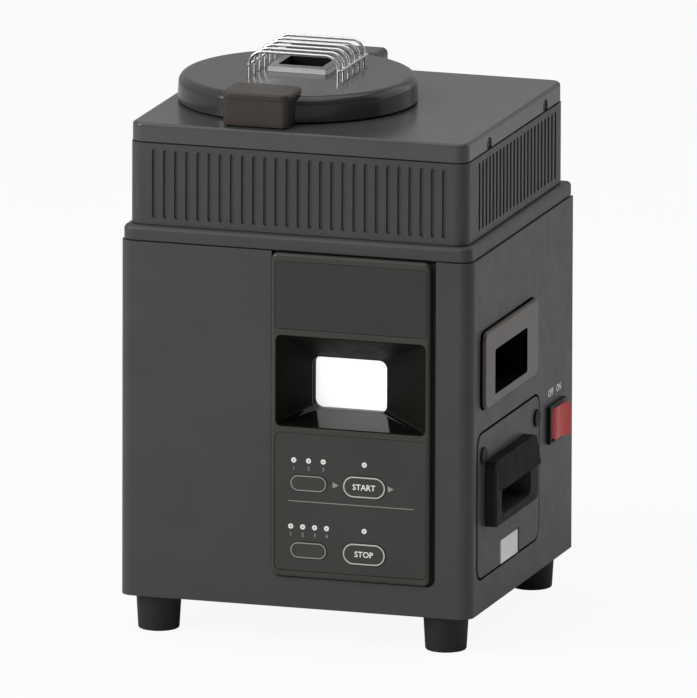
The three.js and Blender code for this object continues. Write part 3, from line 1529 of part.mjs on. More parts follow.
function makeMotor() {
  const m = motor;
  const half = m.box / 2;
  const boxBottom = deckBottom - m.boxHeight;
  const outline = (inset) => roundRect(
    motorX - half + inset, motorX + half - inset, -half + inset, half - inset,
    m.corner - inset, stepsFor(m.corner),
  );
  return join(
    softSlab('z', outline, boxBottom, deckBottom, m.edge, 0),
    bar('z', m.radius, boxBottom - m.canHeight, boxBottom + gap, motorX, 0),
    bar('z', m.shaftRadius, deckBottom - gap, gearTop + gear.lift, motorX, 0),
  );
}

// Frame that carries the pot's jacket and the drive, standing on the base plate
function makeFrame() {
  const f = frame;
  const t = f.thickness;
  const deck = block(-f.left, f.right, -f.front, outletFront - f.ductGap, deckBottom, deckTop);
  const leftLeg = block(-f.left, -f.left + t, -f.front, f.legBack, baseTop, deckTop);
  const middleLeg = block(-f.middle - t, -f.middle, -f.front, f.legBack, baseTop, deckTop);
  const lips = [
    block(-f.left, -f.left + f.lip, -f.front, f.legBack, baseTop, baseTop + t),
    block(-f.middle - f.lip, -f.middle, -f.front, f.legBack, baseTop, baseTop + t),
  ];
  const posts = f.postTurns.map((degrees) => {
    const turn = THREE.MathUtils.degToRad(degrees);
    const x = lid.x + f.postRing * Math.cos(turn);
    const y = lid.y + f.postRing * Math.sin(turn);
    return bar('z', f.post / 2, deckBottom, jacketBottom, x, y);
  });
  const bush = bar('z', f.bushRadius, deckBottom - f.bushDrop, deckTop + gear.lift / 2, lid.x, lid.y);
  const shaftHole = bore(
    'z', agitator.shaftRadius, deckBottom - f.bushDrop - overrun, deckTop + overrun, lid.x, lid.y,
  );
  const motorHole = bar(
    'z', motor.shaftRadius * 2, deckBottom - overrun, deckTop + overrun, lid.x + motorX, lid.y,
  );
  const chuteRoom = block(
    chute.left - gap, f.right + overrun, lid.y - chuteHalf - gap, lid.y + chuteHalf + gap,
    deckBottom - overrun, deckTop + overrun,
  );
  return cut(join(deck, leftLeg, middleLeg, ...lips, ...posts, bush), shaftHole, motorHole, chuteRoom);
}

// Discharge gate, its solenoid and the chute to the bean drawer

const chuteHalf = spout.width / 2 + spout.wall + chute.margin;
const spoutEnd = lid.x + spout.reach;
const gateBack = spoutEnd + gap;
const gateFront = gateBack + gate.thickness;
const gateBottom = potBottom + spout.lift - gate.margin;
const gateTop = potBottom + spout.lift + spout.height + gate.margin;
const chuteInlet = gateFront + gap;
const chuteTop = gateTop + gate.margin / 2;
const plungerX = gateFront + gate.tabReach - gate.plungerRadius - gate.guide;
const solenoidBottom = chuteTop + gap + gate.tabThickness + gate.lift + solenoid.clearance;

function makeGate() {
  const half = spout.width / 2 + gate.margin;
  const tabBottom = chuteTop + gap;
  return join(
    block(gateBack, gateFront, lid.y - half, lid.y + half, gateBottom, tabBottom + gate.tabThickness),
    block(
      gateBack, gateFront + gate.tabReach, lid.y - half / 2, lid.y + half / 2,
      tabBottom, tabBottom + gate.tabThickness,
    ),
    bar('z', gate.plungerRadius, tabBottom, solenoidBottom + gate.engage, plungerX, lid.y),
  );
}

function makeSolenoid() {
  const s = solenoid;
  const x0 = plungerX - s.width / 2;
  const [y0, y1] = [lid.y - s.depth / 2, lid.y + s.depth / 2];
  const top = solenoidBottom + s.height;
  const coil = bar('z', s.coilRadius, solenoidBottom + s.leg / 2, top - s.leg / 2, plungerX, lid.y);
  const yoke = cut(
    block(x0, x0 + s.width, y0, y1, solenoidBottom, top),
    block(x0 - overrun, x0 + s.width + overrun, y0 + s.leg / 2, y1 - s.leg / 2,
      solenoidBottom + s.leg / 2, top - s.leg / 2),
  );
  const legs = [y0, y1 - s.leg].map((y) => (
    block(chuteInlet + s.leg, x0 + s.width, y, y + s.leg, chuteTop, solenoidBottom + gap)
  ));
  const shaftRoom = bore(
    'z', gate.plungerRadius, solenoidBottom - overrun, top + overrun, plungerX, lid.y,
  );
  return cut(join(yoke, coil, ...legs), shaftRoom);
}

function makeChute() {
  const c = chute;
  const bottom = bayTop + bay.wall;
  const profile = (shrink, reach) => [
    [chuteInlet - reach, gateBottom + shrink], [chuteInlet - reach, chuteTop - shrink],
    [c.right - c.ledge - shrink, chuteTop - shrink], [c.right - shrink, chuteTop - c.shoulder - shrink],
    [c.right - shrink, bottom - reach], [c.left + shrink, bottom - reach],
    [c.left + shrink, gateBottom - c.ledge],
  ].map(([x, z]) => new THREE.Vector2(x, z)).reverse();
  const outer = prism('y', profile(0, 0), lid.y - chuteHalf, lid.y + chuteHalf);
  const half = chuteHalf - c.wall;
  const inner = prism('y', profile(c.wall, overrun), lid.y - half, lid.y + half);
  return cut(outer, inner);
}

// Hot-air blower, heater and duct

const blowerZ = casingBottom + blower.z;
const outletBack = blowerY + blower.outer;
const outletFront = outletBack - blower.outletDepth;
const outletTop = casingBottom + blower.outletTop;

function blowerShape(shrink, from, to, lift) {
  const round = bar('x', blower.outer - shrink, from, to, blowerY, blowerZ);
  const outlet = block(
    from, to, outletFront + shrink, outletBack - shrink, blowerZ, outletTop + lift,
  );
  return join(round, outlet);
}

function makeBlowerHousing() {
  const b = blower;
  const x0 = -b.x - b.width / 2;
  const x1 = -b.x + b.width / 2;
  const shell = cut(
    blowerShape(0, x0, x1, 0),
    blowerShape(b.wall, x0 + b.wall, x1 - b.wall, overrun),
  );
  const foot0 = blowerZ - b.outer;
  const feet = [-1, 1].map((side) => {
    const y = blowerY + side * b.footSpread;
    return block(x0, x1, y - b.footHalf, y + b.footHalf, baseTop, foot0 + b.footHeight);
  });
  const inside = bar('x', b.outer - b.wall, x0 + b.wall, x1 - b.wall, blowerY, blowerZ);
  const inlet = bar('x', b.inletRadius, x0 - overrun, x0 + b.wall + gap, blowerY, blowerZ);
  const shaftPass = bore('x', blowerMotor.boss, x1 - b.wall - gap, x1 + overrun, blowerY, blowerZ);
  return cut(join(shell, ...feet), inside, inlet, shaftPass);
}

function makeBlowerMotor() {
  const m = blowerMotor;
  const face = -blower.x + blower.width / 2;
  const y = blowerY;
  const wheel = face - blower.wall - m.bossLength;
  return join(
    bar('x', m.radius, face, face + m.length, y, blowerZ),
    bar('x', m.boss, wheel + gap, face + gap, y, blowerZ),
    bar('x', m.shaftRadius, wheel - impeller.width / 2, face + m.length + m.bossLength, y, blowerZ),
  );
}

function makeImpeller() {
  const w = impeller;
  const back = -blower.x + blower.width / 2 - blower.wall - blowerMotor.bossLength;
  const front = back - w.width;
  const disc = bar('x', w.radius, back - w.ring, back);
  const hub = bar('x', w.hub, back - w.width / 2, back);
  const crown = cut(
    bar('x', w.radius, front, front + w.ring),
    bar('x', w.radius - w.bladeLength, front - overrun, back),
  );
  const blades = [];
  for (let i = 0; i < w.blades; i++) {
    const blade = block(
      front + w.ring / 2, back - w.ring / 2, -w.blade / 2, w.blade / 2,
      w.radius - w.bladeLength, w.radius - gap,
    );
    blades.push(blade.rotate([360 * i / w.blades, 0, 0]));
  }
  const shaftRoom = bore(
    'x', blowerMotor.shaftRadius, back - w.width / 2 - overrun, back + overrun,
  );
  return cut(join(disc, hub, crown, ...blades), shaftRoom).translate([0, blowerY, blowerZ]);
}

function makeDuct() {
  const d = duct;
  const bottom = outletTop + gap;
  const end = lid.y + d.neckFront + gap;
  const outline = (w, reach) => [
    [outletFront + w, bottom - reach], [outletBack - w, bottom - reach],
    [outletBack - w, neckTop - d.chamfer - w / 2], [outletBack - d.chamfer - w / 2, neckTop - w],
    [end - reach, neckTop - w], [end - reach, neckBottom + w], [outletFront + w, neckBottom + w],
  ].map(([y, z]) => new THREE.Vector2(y, z));
  const x0 = -blower.x - ductHalf;
  const x1 = -blower.x + ductHalf;
  return cut(
    prism('x', outline(0, 0), x0, x1),
    prism('x', outline(d.wall, overrun), x0 + d.wall, x1 - d.wall),
  );
}

class HelixPath extends THREE.Curve {
  getPoint(share, target = new THREE.Vector3()) {
    const turn = 2 * Math.PI * heater.turns * share;
    return target.set(
      heater.coilRadius * Math.cos(turn), heater.coilRadius * Math.sin(turn), heater.height * share,
    );
  }
}

function makeHeater() {
  const coil = tube(new HelixPath(), heater.wire, heater.turns * heater.turnSteps, heater.wireSides);
  const depth = (outletBack - outletFront) / 2 - duct.wall - gap;
  const width = ductHalf - duct.wall - gap;
  const margin = heater.wire;
  const core = bar('z', heater.core, -margin, heater.height + margin);
  const stars = [-margin, heater.height + margin].map((z) => join(
    block(-heater.star, heater.star, -depth, depth, z - heater.star, z + heater.star),
    block(-width, width, -heater.star, heater.star, z - heater.star, z + heater.star),
  ));
  return join(core, ...stars, coil);
}

// Boards and the cord's way in

function makePowerBoard() {
  const b = powerBoard;
  const x1 = -frame.left;
  const x0 = x1 - b.standoff - board.thickness;
  const y0 = -frame.front + b.frontInset;
  const y1 = y0 + b.depth;
  const z0 = casingBottom + b.bottom;
  const z1 = z0 + b.length;
  const middle = (y0 + y1) / 2;
  const plate = block(x0, x0 + board.thickness, y0, y1, z0, z1);
  const standoffs = [y0 + b.inset, y1 - b.inset].flatMap((y) => (
    [z0 + b.inset, z1 - b.inset].map((z) => bar('x', b.standoffRadius, x0 + gap, x1, y, z))
  ));
  const low = z0 + b.inset;
  const high = z1 - b.inset;
  const parts = [
    block(x0 - b.partHeight, x0 + gap, y0 + b.inset, middle - gap, low, low + b.blockLength),
    block(x0 - b.coreHeight, x0 + gap, middle + gap, y1 - b.inset, low, low + b.coreLength),
    block(x0 - b.partHeight, x0 + gap, middle, y1 - b.inset, high - b.blockLength, high),
    bar('x', b.canRadius, x0 - b.partHeight, x0 + gap, y0 + b.inset * 2, (z0 + z1) / 2),
  ];
  return join(plate, ...standoffs, ...parts);
}

function makeGland() {
  const g = gland;
  const z = casingBottom + g.height;
  const back = panelBack + g.flange;
  const front = panelFront - g.nut;
  const body = join(
    bar('y', g.flangeRadius, panelBack, back, glandX, z, g.flangeFace),
    bar('y', g.radius, front, back, glandX, z),
    bar('y', g.nutRadius, front, panelFront, glandX, z, g.nutRadius, g.nutSides),
  );
  return cut(body, bar('y', g.bore, front - overrun, back + overrun, glandX, z));
}

// Assembly

const footShape = makeFoot();
const footX = halfWidth - foot.sideInset;
const footY = backY - foot.endInset;
for (const [depthName, y] of [['front', -footY], ['rear', footY]]) {
  for (const [sideName, x] of [['left', -footX], ['right', footX]]) {
    add(roaster, `foot_${depthName}_${sideName}`, footShape, 'rubber', [x, y, 0]);
  }
}
add(roaster, 'base_plate', makeBase(), 'zinc');
add(roaster, 'main_casing', makeCasing(), 'casing_paint');
add(roaster, 'rear_panel', makeRearPanel(), 'casing_paint');
add(roaster, 'shoulder_cover', makeShoulder(), 'casing_paint');
add(roaster, 'upper_casing', makeUpperCasing(), 'casing_paint');
add(roaster, 'top_cover', makeTopCover(), 'cover_paint');
add(roaster, 'cover_fixings_left', makeCoverFixings(-1), 'zinc');
add(roaster, 'cover_fixings_right', makeCoverFixings(1), 'zinc');
add(roaster, 'cord_gland', makeGland(), 'black_plastic');

add(roaster, 'panel_bezel', makeBezel(), 'bezel_plastic');
add(roaster, 'header_plate', makeHeader(), 'dark_plate');
add(roaster, 'control_plate', makePanel(), 'dark_plate');
add(roaster, 'control_board', makeControlBoard(), 'board_green');
add(roaster, 'display_lens', makeLens(), 'milky');
add(roaster, 'lamp_board', makeLampBoard(), 'board_green');
for (const [name, x, z, width, height] of keys) {
  add(roaster, name, makeKey(width, height), 'key_plastic', [x, panelFace, casingBottom + z]);
}

add(roaster, 'rocker_housing', makeRockerHousing(), 'black_plastic');
add(roaster, 'power_rocker', makeRocker(), 'red_plastic', [halfWidth, rockerY, rockerZ]);

add(roaster, 'drawer_bay', makeDrawerBay(), 'zinc');
add(roaster, 'bean_tray', makeTray(), 'steel');
add(roaster, 'drawer_front', makeDrawerFront(), 'casing_paint');
add(roaster, 'drawer_pull', makePull(), 'black_plastic');
const plugShape = makePlug();
for (const [name, y] of [['front', plugYs[0]], ['rear', plugYs[1]]]) {
  const place = [halfWidth, y, casingBottom + drawerPlug.height];
  add(roaster, `drawer_plug_${name}`, plugShape, 'dark_plate', place);
}
add(roaster, 'drawer_plate', makeDrawerPlate(), 'steel');
add(roaster, 'chaff_bay', makeChaffBay(), 'zinc');
add(roaster, 'chaff_case', makeChaffCase(), 'smoked');

const lidGroup = new THREE.Group();
lidGroup.position.set(lid.x, lid.y, lidBottom);
roaster.add(lidGroup);
add(lidGroup, 'lid_shell', makeLidShell(), 'cover_paint');
add(lidGroup, 'lid_handle', makeHandle(), 'brown_plastic');
add(lidGroup, 'chimney_frame', makeChimney(), 'chrome');
add(lidGroup, 'wire_guard', makeGuard(), 'chrome');
add(lidGroup, 'hinge_bracket', makeHingeBracket(), 'zinc');
add(lidGroup, 'hinge_pin', makeHingePin(), 'steel');

// Inner pieces are drawn with coarser chords
facets.chord = facets.hiddenChord;
add(lidGroup, 'lid_liner', makeLiner(), 'steel');
add(lidGroup, 'lid_gasket', makeGasket(), 'silicone');
const roastGroup = new THREE.Group();
roastGroup.position.set(lid.x, lid.y, 0);
roaster.add(roastGroup);
add(roastGroup, 'roasting_pot', makePot(), 'steel');
add(roastGroup, 'pot_jacket', makeJacket(), 'zinc');
add(roastGroup, 'temperature_sensor', makeSensor(), 'steel');
add(roastGroup, 'agitator', makeAgitator(), 'steel');
add(roastGroup, 'drive_gear', makeGear(), 'nylon');
add(roastGroup, 'motor_pinion', makePinion(), 'steel');
add(roastGroup, 'agitator_motor', makeMotor(), 'motor_steel');

add(roaster, 'inner_frame', makeFrame(), 'zinc');
add(roaster, 'light_guide', makeLightGuide(), 'milky');
add(roaster, 'discharge_gate', makeGate(), 'steel');
add(roaster, 'gate_solenoid', makeSolenoid(), 'motor_steel');
add(roaster, 'bean_chute', makeChute(), 'steel');
add(roaster, 'blower_housing', makeBlowerHousing(), 'motor_steel');
add(roaster, 'blower_impeller', makeImpeller(), 'black_plastic');
add(roaster, 'blower_motor', makeBlowerMotor(), 'motor_steel');
add(roaster, 'heater_duct', makeDuct(), 'zinc');
const heaterPlace = [-blower.x, (outletFront + outletBack) / 2, outletTop + heater.lift];
add(roaster, 'heater_element', makeHeater(), 'ceramic', heaterPlace);
add(roaster, 'power_board', makePowerBoard(), 'board_green');

// The whole stands with the centre of its footprint at the origin
roaster.updateMatrixWorld(true);
const extent = new THREE.Box3().setFromObject(roaster);
const centre = extent.getCenter(new THREE.Vector3());
roaster.position.set(-centre.x, -centre.y, -extent.min.z);
roaster.updateMatrixWorld(true);

export default roaster;
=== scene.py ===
from math import asin, cos, pi, radians, sin

import bmesh
import bpy
from mathutils import Matrix, Vector


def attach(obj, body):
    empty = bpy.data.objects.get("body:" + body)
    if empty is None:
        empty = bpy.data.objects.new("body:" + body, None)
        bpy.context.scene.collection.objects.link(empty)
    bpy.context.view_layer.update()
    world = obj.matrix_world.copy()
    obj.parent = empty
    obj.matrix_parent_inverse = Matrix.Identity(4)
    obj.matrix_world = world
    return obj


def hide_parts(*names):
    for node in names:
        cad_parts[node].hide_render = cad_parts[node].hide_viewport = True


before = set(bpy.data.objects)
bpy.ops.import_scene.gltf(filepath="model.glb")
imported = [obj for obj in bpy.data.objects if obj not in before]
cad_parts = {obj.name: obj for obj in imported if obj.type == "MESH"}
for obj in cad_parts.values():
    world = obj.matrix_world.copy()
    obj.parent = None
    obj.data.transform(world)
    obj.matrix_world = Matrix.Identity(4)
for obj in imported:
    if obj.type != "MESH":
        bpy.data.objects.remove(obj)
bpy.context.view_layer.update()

# Home coffee bean roaster. Shapes are drawn in millimetres about the casing's centre, and
# SHIFT brings them into the shared frame.

MM = 0.001
SHIFT = Vector((-5, 1.15, 0))
QUARTER = pi / 2

# Shared sizes, in millimetres

WIDTH, DEPTH = 248, 231.2
HALF, FRONT, BACK = WIDTH / 2, -DEPTH / 2, DEPTH / 2
FLOOR_GAP, CASE_TOP = 24.7, 269.2
CORNER, WALL, SEAM = 9, 1.2, 0.3
SHADOW, REVEAL = 0.8, 2
SHOULDER_TOP, UPPER_TOP, COVER_TOP = 279.9, 336.1, 349.7
LID_X, LID_Y, LID_Z = -33, -6, 350.6
BEZEL_FACE, BEZEL_BOTTOM, BEZEL_TOP = FRONT - 3, 46.4, 268.8
BEZEL_EDGE, PANEL_EDGE, DOOR_BOTTOM = 95.8, 99.1, 48.5
SLANT = 0.3  # a face whose normal has less than this of a direction is an edge seen from there
OVERRUN = 4  # how far a cutting tool runs past the solid that it cuts


# Outlines: lists of (a, b) points that run anticlockwise

def arc(cx, cy, radius, start, end, steps):
    turns = [start + (end - start) * i / steps for i in range(steps + 1)]
    return [(cx + radius * cos(t), cy + radius * sin(t)) for t in turns]


def round_rect(x0, x1, y0, y1, radius, steps=8):
    q = QUARTER
    return (
        arc(x1 - radius, y1 - radius, radius, 0, q, steps)
        + arc(x0 + radius, y1 - radius, radius, q, 2 * q, steps)
        + arc(x0 + radius, y0 + radius, radius, 2 * q, 3 * q, steps)
        + arc(x1 - radius, y0 + radius, radius, 3 * q, 4 * q, steps)
    )


def shrinking(x0, x1, y0, y1, radius, steps=8, least=0.15):
    """A round rectangle as a function of its inset, which can be negative."""
    return lambda inset: round_rect(
        x0 + inset, x1 - inset, y0 + inset, y1 - inset, max(radius - inset, least), steps
    )


def plan(inset, rear=None):
    """The casing's plan, drawn in by an inset: round front corners and square rear ones."""
    x, y = HALF - inset, FRONT + inset
    rear = BACK - inset if rear is None else rear
    r = max(CORNER - inset, 0.3)
    return (
        [(x, rear), (-x, rear)]
        + arc(-x + r, y + r, r, 2 * QUARTER, 3 * QUARTER, 12)
        + arc(x - r, y + r, r, 3 * QUARTER, 4 * QUARTER, 12)
    )


def upper_plan(inset, corner):
    """The upper casing's plan, drawn in by an inset: all four corners round."""
    return round_rect(
        -HALF + inset, HALF - inset, FRONT + inset, BACK - inset, max(corner, 0.3), 12
    )


def circle(cx, cy, radius, steps=48):
    return arc(cx, cy, radius, 0, 4 * QUARTER, steps)[:-1]


# Solids: Blender objects in millimetres, joined and cut before they become pieces

CLOSE = 1e-4  # points nearer than this are one point
WIRE_SIDES = 14
STEP = 0.01  # two rings this near each other make a sharp step in a loft

TURN = {
    "z": lambda a, b, c: (a, b, c),
    "x": lambda a, b, c: (c, a, b),
    "y": lambda a, b, c: (a, c, b),
}


def linked(data, name="raw"):
    """A new object in the scene that holds a mesh, a curve, a lamp or a camera."""
    obj = bpy.data.objects.new(name, data)
    bpy.context.scene.collection.objects.link(obj)
    return obj


def evaluated_mesh(obj):
    return bpy.data.meshes.new_from_object(
        obj.evaluated_get(bpy.context.evaluated_depsgraph_get())
    )


def mend(mesh, degenerate=True):
    """Joins points that meet, drops faces with no area and turns every face outwards."""
    bm = bmesh.new()
    bm.from_mesh(mesh)
    bmesh.ops.remove_doubles(bm, verts=bm.verts, dist=CLOSE)
    if degenerate:
        bmesh.ops.dissolve_degenerate(bm, edges=bm.edges, dist=CLOSE)
    bmesh.ops.recalc_face_normals(bm, faces=bm.faces)
    bm.to_mesh(mesh)
    bm.free()


def raw(points, faces):
    mesh = bpy.data.meshes.new("raw")
    mesh.from_pydata(points, [], faces)
    mend(mesh)
    return linked(mesh)


def skin(points, count):
    """A closed solid round rows of points, each row with the same count."""
    faces = []
    last = len(points) - count
    for low in range(0, last, count):
        for i in range(count):
            j = (i + 1) % count
            faces.append((low + i, low + j, low + j + count, low + i + count))
    faces.append(tuple(range(count))[::-1])
    faces.append(tuple(range(last, last + count)))
    return raw(points, faces)


def loft(axis, rings):
    """A solid through (outline, place along the axis) pairs."""
    points = [TURN[axis](a, b, at) for outline, at in rings for a, b in outline]
    return skin(points, len(rings[0][0]))


def prism(axis, outline, start, end):
    return loft(axis, [(outline, start), (outline, end)])


def slab(axis, outline, start, end, edge_start=0, edge_end=0, steps=5):
    """A prism whose outline shrinks along a quarter round at either end."""
    turns = [QUARTER * i / steps for i in range(steps + 1)]
    rings = [
        (outline(edge_start * (1 - sin(t))), start + edge_start * (1 - cos(t)))
        for t in (turns if edge_start else turns[-1:])
    ]
    rings += [
        (outline(edge_end * (1 - cos(t))), end - edge_end * (1 - sin(t)))
        for t in (turns if edge_end else turns[:1])
    ]
    return loft(axis, rings)


def block(x0, x1, y0, y1, z0, z1):
    return prism("z", [(x0, y0), (x1, y0), (x1, y1), (x0, y1)], z0, z1)


def rod(axis, radius, start, end, a=0, b=0, steps=48):
    return prism(axis, circle(a, b, radius, steps), start, end)


def lathe(profile, x=0, y=0, steps=96):
    """A profile of (radius, height) points turned about a vertical axis."""
    points, rows = [], []
    for r, h in profile:
        if r <= 0:
            rows.append([len(points)] * steps)
            points.append((x, y, h))
            continue
        rows.append([len(points) + i for i in range(steps)])
        points += [(x + a, y + b, h) for a, b in circle(0, 0, r, steps)]
    faces = []
    for row, above in zip(rows, rows[1:]):
        for i in range(steps):
            j = (i + 1) % steps
            face = [row[i], row[j], above[j], above[i]]
            face = [v for k, v in enumerate(face) if v not in face[:k]]
            if len(face) > 2:
                faces.append(tuple(face))
    return raw(points, faces)


def sweep(path, radius):
    """A round wire along a path of points, with flat ends."""
    points, side = [], None
    spine = [Vector(p) for p in path]
    for i, p in enumerate(spine):
        along = (spine[min(i + 1, len(spine) - 1)] - spine[max(i - 1, 0)]).normalized()
        if side is None:
            side = along.orthogonal().normalized()
        side = (side - along * side.dot(along)).normalized()
        up = along.cross(side)
        points += [tuple(p + side * a + up * b) for a, b in circle(0, 0, radius, WIRE_SIDES)]
    return skin(points, WIRE_SIDES)


def side_tools(outline, side, depth):
    """Two tools that cut an outline into the left and right walls, to a depth."""
    return [prism("x", outline, side - depth, side + OVERRUN),
            prism("x", outline, -side - OVERRUN, -side + depth)]


def merged(bodies):
    """Several separate solids as the one mesh that a cut takes."""
    bm = bmesh.new()
    for body in bodies:
        bm.from_mesh(body.data)
        bpy.data.objects.remove(body)
    mesh = bpy.data.meshes.new("raw")
    bm.to_mesh(mesh)
    bm.free()
    return linked(mesh)


def combine(body, others, operation):
    """Joins or cuts a body with others, which are used up."""
    for other in others:
        step = body.modifiers.new("step", "BOOLEAN")
        step.operation, step.solver, step.object = operation, "EXACT", other
    mesh = evaluated_mesh(body)
    body.modifiers.clear()
    body.data = mesh
    for other in others:
        bpy.data.objects.remove(other)
    return body


def cut(body, *tools):
    return combine(body, tools, "DIFFERENCE")


def join(body, *others):
    return combine(body, others, "UNION")


LETTER_DEPTH, LETTER_BOLD, LETTER_THICK = 0.02, 0.012, 0.12


def letters(text, height, centre, turn):
    """Flat printed characters of a given height, upright and centred on a point."""
    curve = bpy.data.curves.new("raw", "FONT")
    curve.body, curve.resolution_u = text, 3
    curve.extrude, curve.offset = LETTER_DEPTH, LETTER_BOLD
    source = linked(curve)
    mesh = evaluated_mesh(source)
    bpy.data.objects.remove(source)
    mend(mesh, degenerate=False)
    spans = [(min(v.co[i] for v in mesh.vertices), max(v.co[i] for v in mesh.vertices))
             for i in range(3)]
    middle = Vector([(low + high) / 2 for low, high in spans])
    size = [high - low for low, high in spans]
    scale = height / size[1]
    thin = Matrix.Diagonal((scale, scale, LETTER_THICK / size[2], 1))
    mesh.transform(Matrix.Translation(centre) @ turn @ thin @ Matrix.Translation(-middle))
    return linked(mesh)


EDGE_ANGLE, SHARP_ANGLE = radians(38), radians(35)


def piece(name, obj, body, nodes, look, bevel=0.3, segments=3, place=(0, 0, 0)):
    """Turns a solid into a piece: metres, soft edges, its finish and the body it rides on."""
    obj.name = obj.data.name = name
    obj.data.transform(Matrix.Translation(SHIFT + Vector(place)))
    obj.data.transform(Matrix.Scale(MM, 4))
    if bevel:
        edge = obj.modifiers.new("edge", "BEVEL")
        edge.width, edge.segments = bevel * MM, segments
        edge.limit_method, edge.angle_limit = "ANGLE", EDGE_ANGLE
        edge.miter_outer = "MITER_ARC"
        edge.harden_normals = False
    obj.data.shade_smooth()
    even = obj.modifiers.new("even", "WEIGHTED_NORMAL")
    even.keep_sharp = True
    if not bevel:
        sharpen(obj)
    obj.data.materials.clear()
    obj.data.materials.append(LOOKS[look])
    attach(obj, body)
    if nodes:
        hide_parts(*nodes)
    return obj


def second_look(obj, look, chosen):
    """Gives the faces that a test picks another finish, here mostly painted shade or painted
    light.
    """
    obj.data.materials.append(LOOKS[look])
    last = len(obj.data.materials) - 1
    for face in obj.data.polygons:
        if chosen(face):
            face.material_index = last


def sharpen(obj):
    """Keeps the corners of a piece without soft edges crisp."""
    bm = bmesh.new()
    bm.from_mesh(obj.data)
    for edge in bm.edges:
        if len(edge.link_faces) == 2 and edge.calc_face_angle(0) > SHARP_ANGLE:
            edge.smooth = False
    bm.to_mesh(obj.data)
    bm.free()


# Finishes, all from shader nodes over the object's own coordinates

def linear(value):
    """A display value of 0 to 255 as linear light of 0 to 1."""
    share = value / 255
    return share / 12.92 if share <= 0.04045 else ((share + 0.055) / 1.055) ** 2.4


def tone(rgb, gain=1.0):
    return tuple(linear(v) * gain for v in rgb) + (1.0,)


def put(node, values):
    """Sets a node's inputs by name."""
    for name, value in values.items():
        node.inputs[name].default_value = value
    return node


class Look:
    """A material's nodes, with the few links that the finishes use."""

    def __init__(self, name):
        self.material = bpy.data.materials.new(name)
        self.material.use_nodes = True
        self.nodes = self.material.node_tree.nodes
        self.links = self.material.node_tree.links
        self.shader = self.nodes["Principled BSDF"]
        self.where = self.nodes.new("ShaderNodeTexCoord").outputs["Object"]

    def noise(self, scale, detail=3.0, stretch=None):
        source = self.where
        if stretch:
            mapping = put(self.nodes.new("ShaderNodeMapping"), {"Scale": stretch})
            self.links.new(source, mapping.inputs["Vector"])
            source = mapping.outputs["Vector"]
        node = put(self.nodes.new("ShaderNodeTexNoise"), {"Scale": scale, "Detail": detail})
        self.links.new(source, node.inputs["Vector"])
        return node.outputs["Fac"]

    def ramp(self, source, low, high):
        """Spreads the middle of a noise over the range from low to high."""
        node = put(self.nodes.new("ShaderNodeMapRange"),
                   {"From Min": 0.3, "From Max": 0.7, "To Min": low, "To Max": high})
        self.links.new(source, node.inputs["Value"])
        return node.outputs["Result"]

    def mix(self, factor, low, high):
        node = self.nodes.new("ShaderNodeMix")
        node.data_type = "RGBA"
        self.links.new(factor, node.inputs["Factor"])
        return put(node, {"A": low, "B": high}).outputs["Result"]

    def bump(self, height, strength, distance):
        node = put(self.nodes.new("ShaderNodeBump"), {"Strength": strength, "Distance": distance})
        self.links.new(height, node.inputs["Height"])
        self.links.new(node.outputs["Normal"], self.shader.inputs["Normal"])


GRAIN_DEPTH = 0.00006  # in metres
LEAST_SHEEN, MOST_SHEEN = 0.9, 1.1  # shares of a finish's roughness


def finish(name, rgb, rough, metal, specular, bumps, grain=900, spread=0.06, patch=22,
           stretch=None):
    """A surface with slow patches of colour, an uneven sheen and a fine grain."""
    look = Look(name)
    patches = look.ramp(look.noise(patch), 0.0, 1.0)
    low, high = tone(rgb, 1 - spread), tone(rgb, 1 + spread)
    look.links.new(look.mix(patches, low, high), look.shader.inputs["Base Color"])
    fine = look.noise(patch * 4, 5, stretch)
    uneven = look.ramp(fine, rough * LEAST_SHEEN, rough * MOST_SHEEN)
    look.links.new(uneven, look.shader.inputs["Roughness"])
    put(look.shader, {"Metallic": metal, "Specular IOR Level": specular})
    look.bump(look.noise(grain, 2, stretch), bumps, GRAIN_DEPTH)
    return look.material


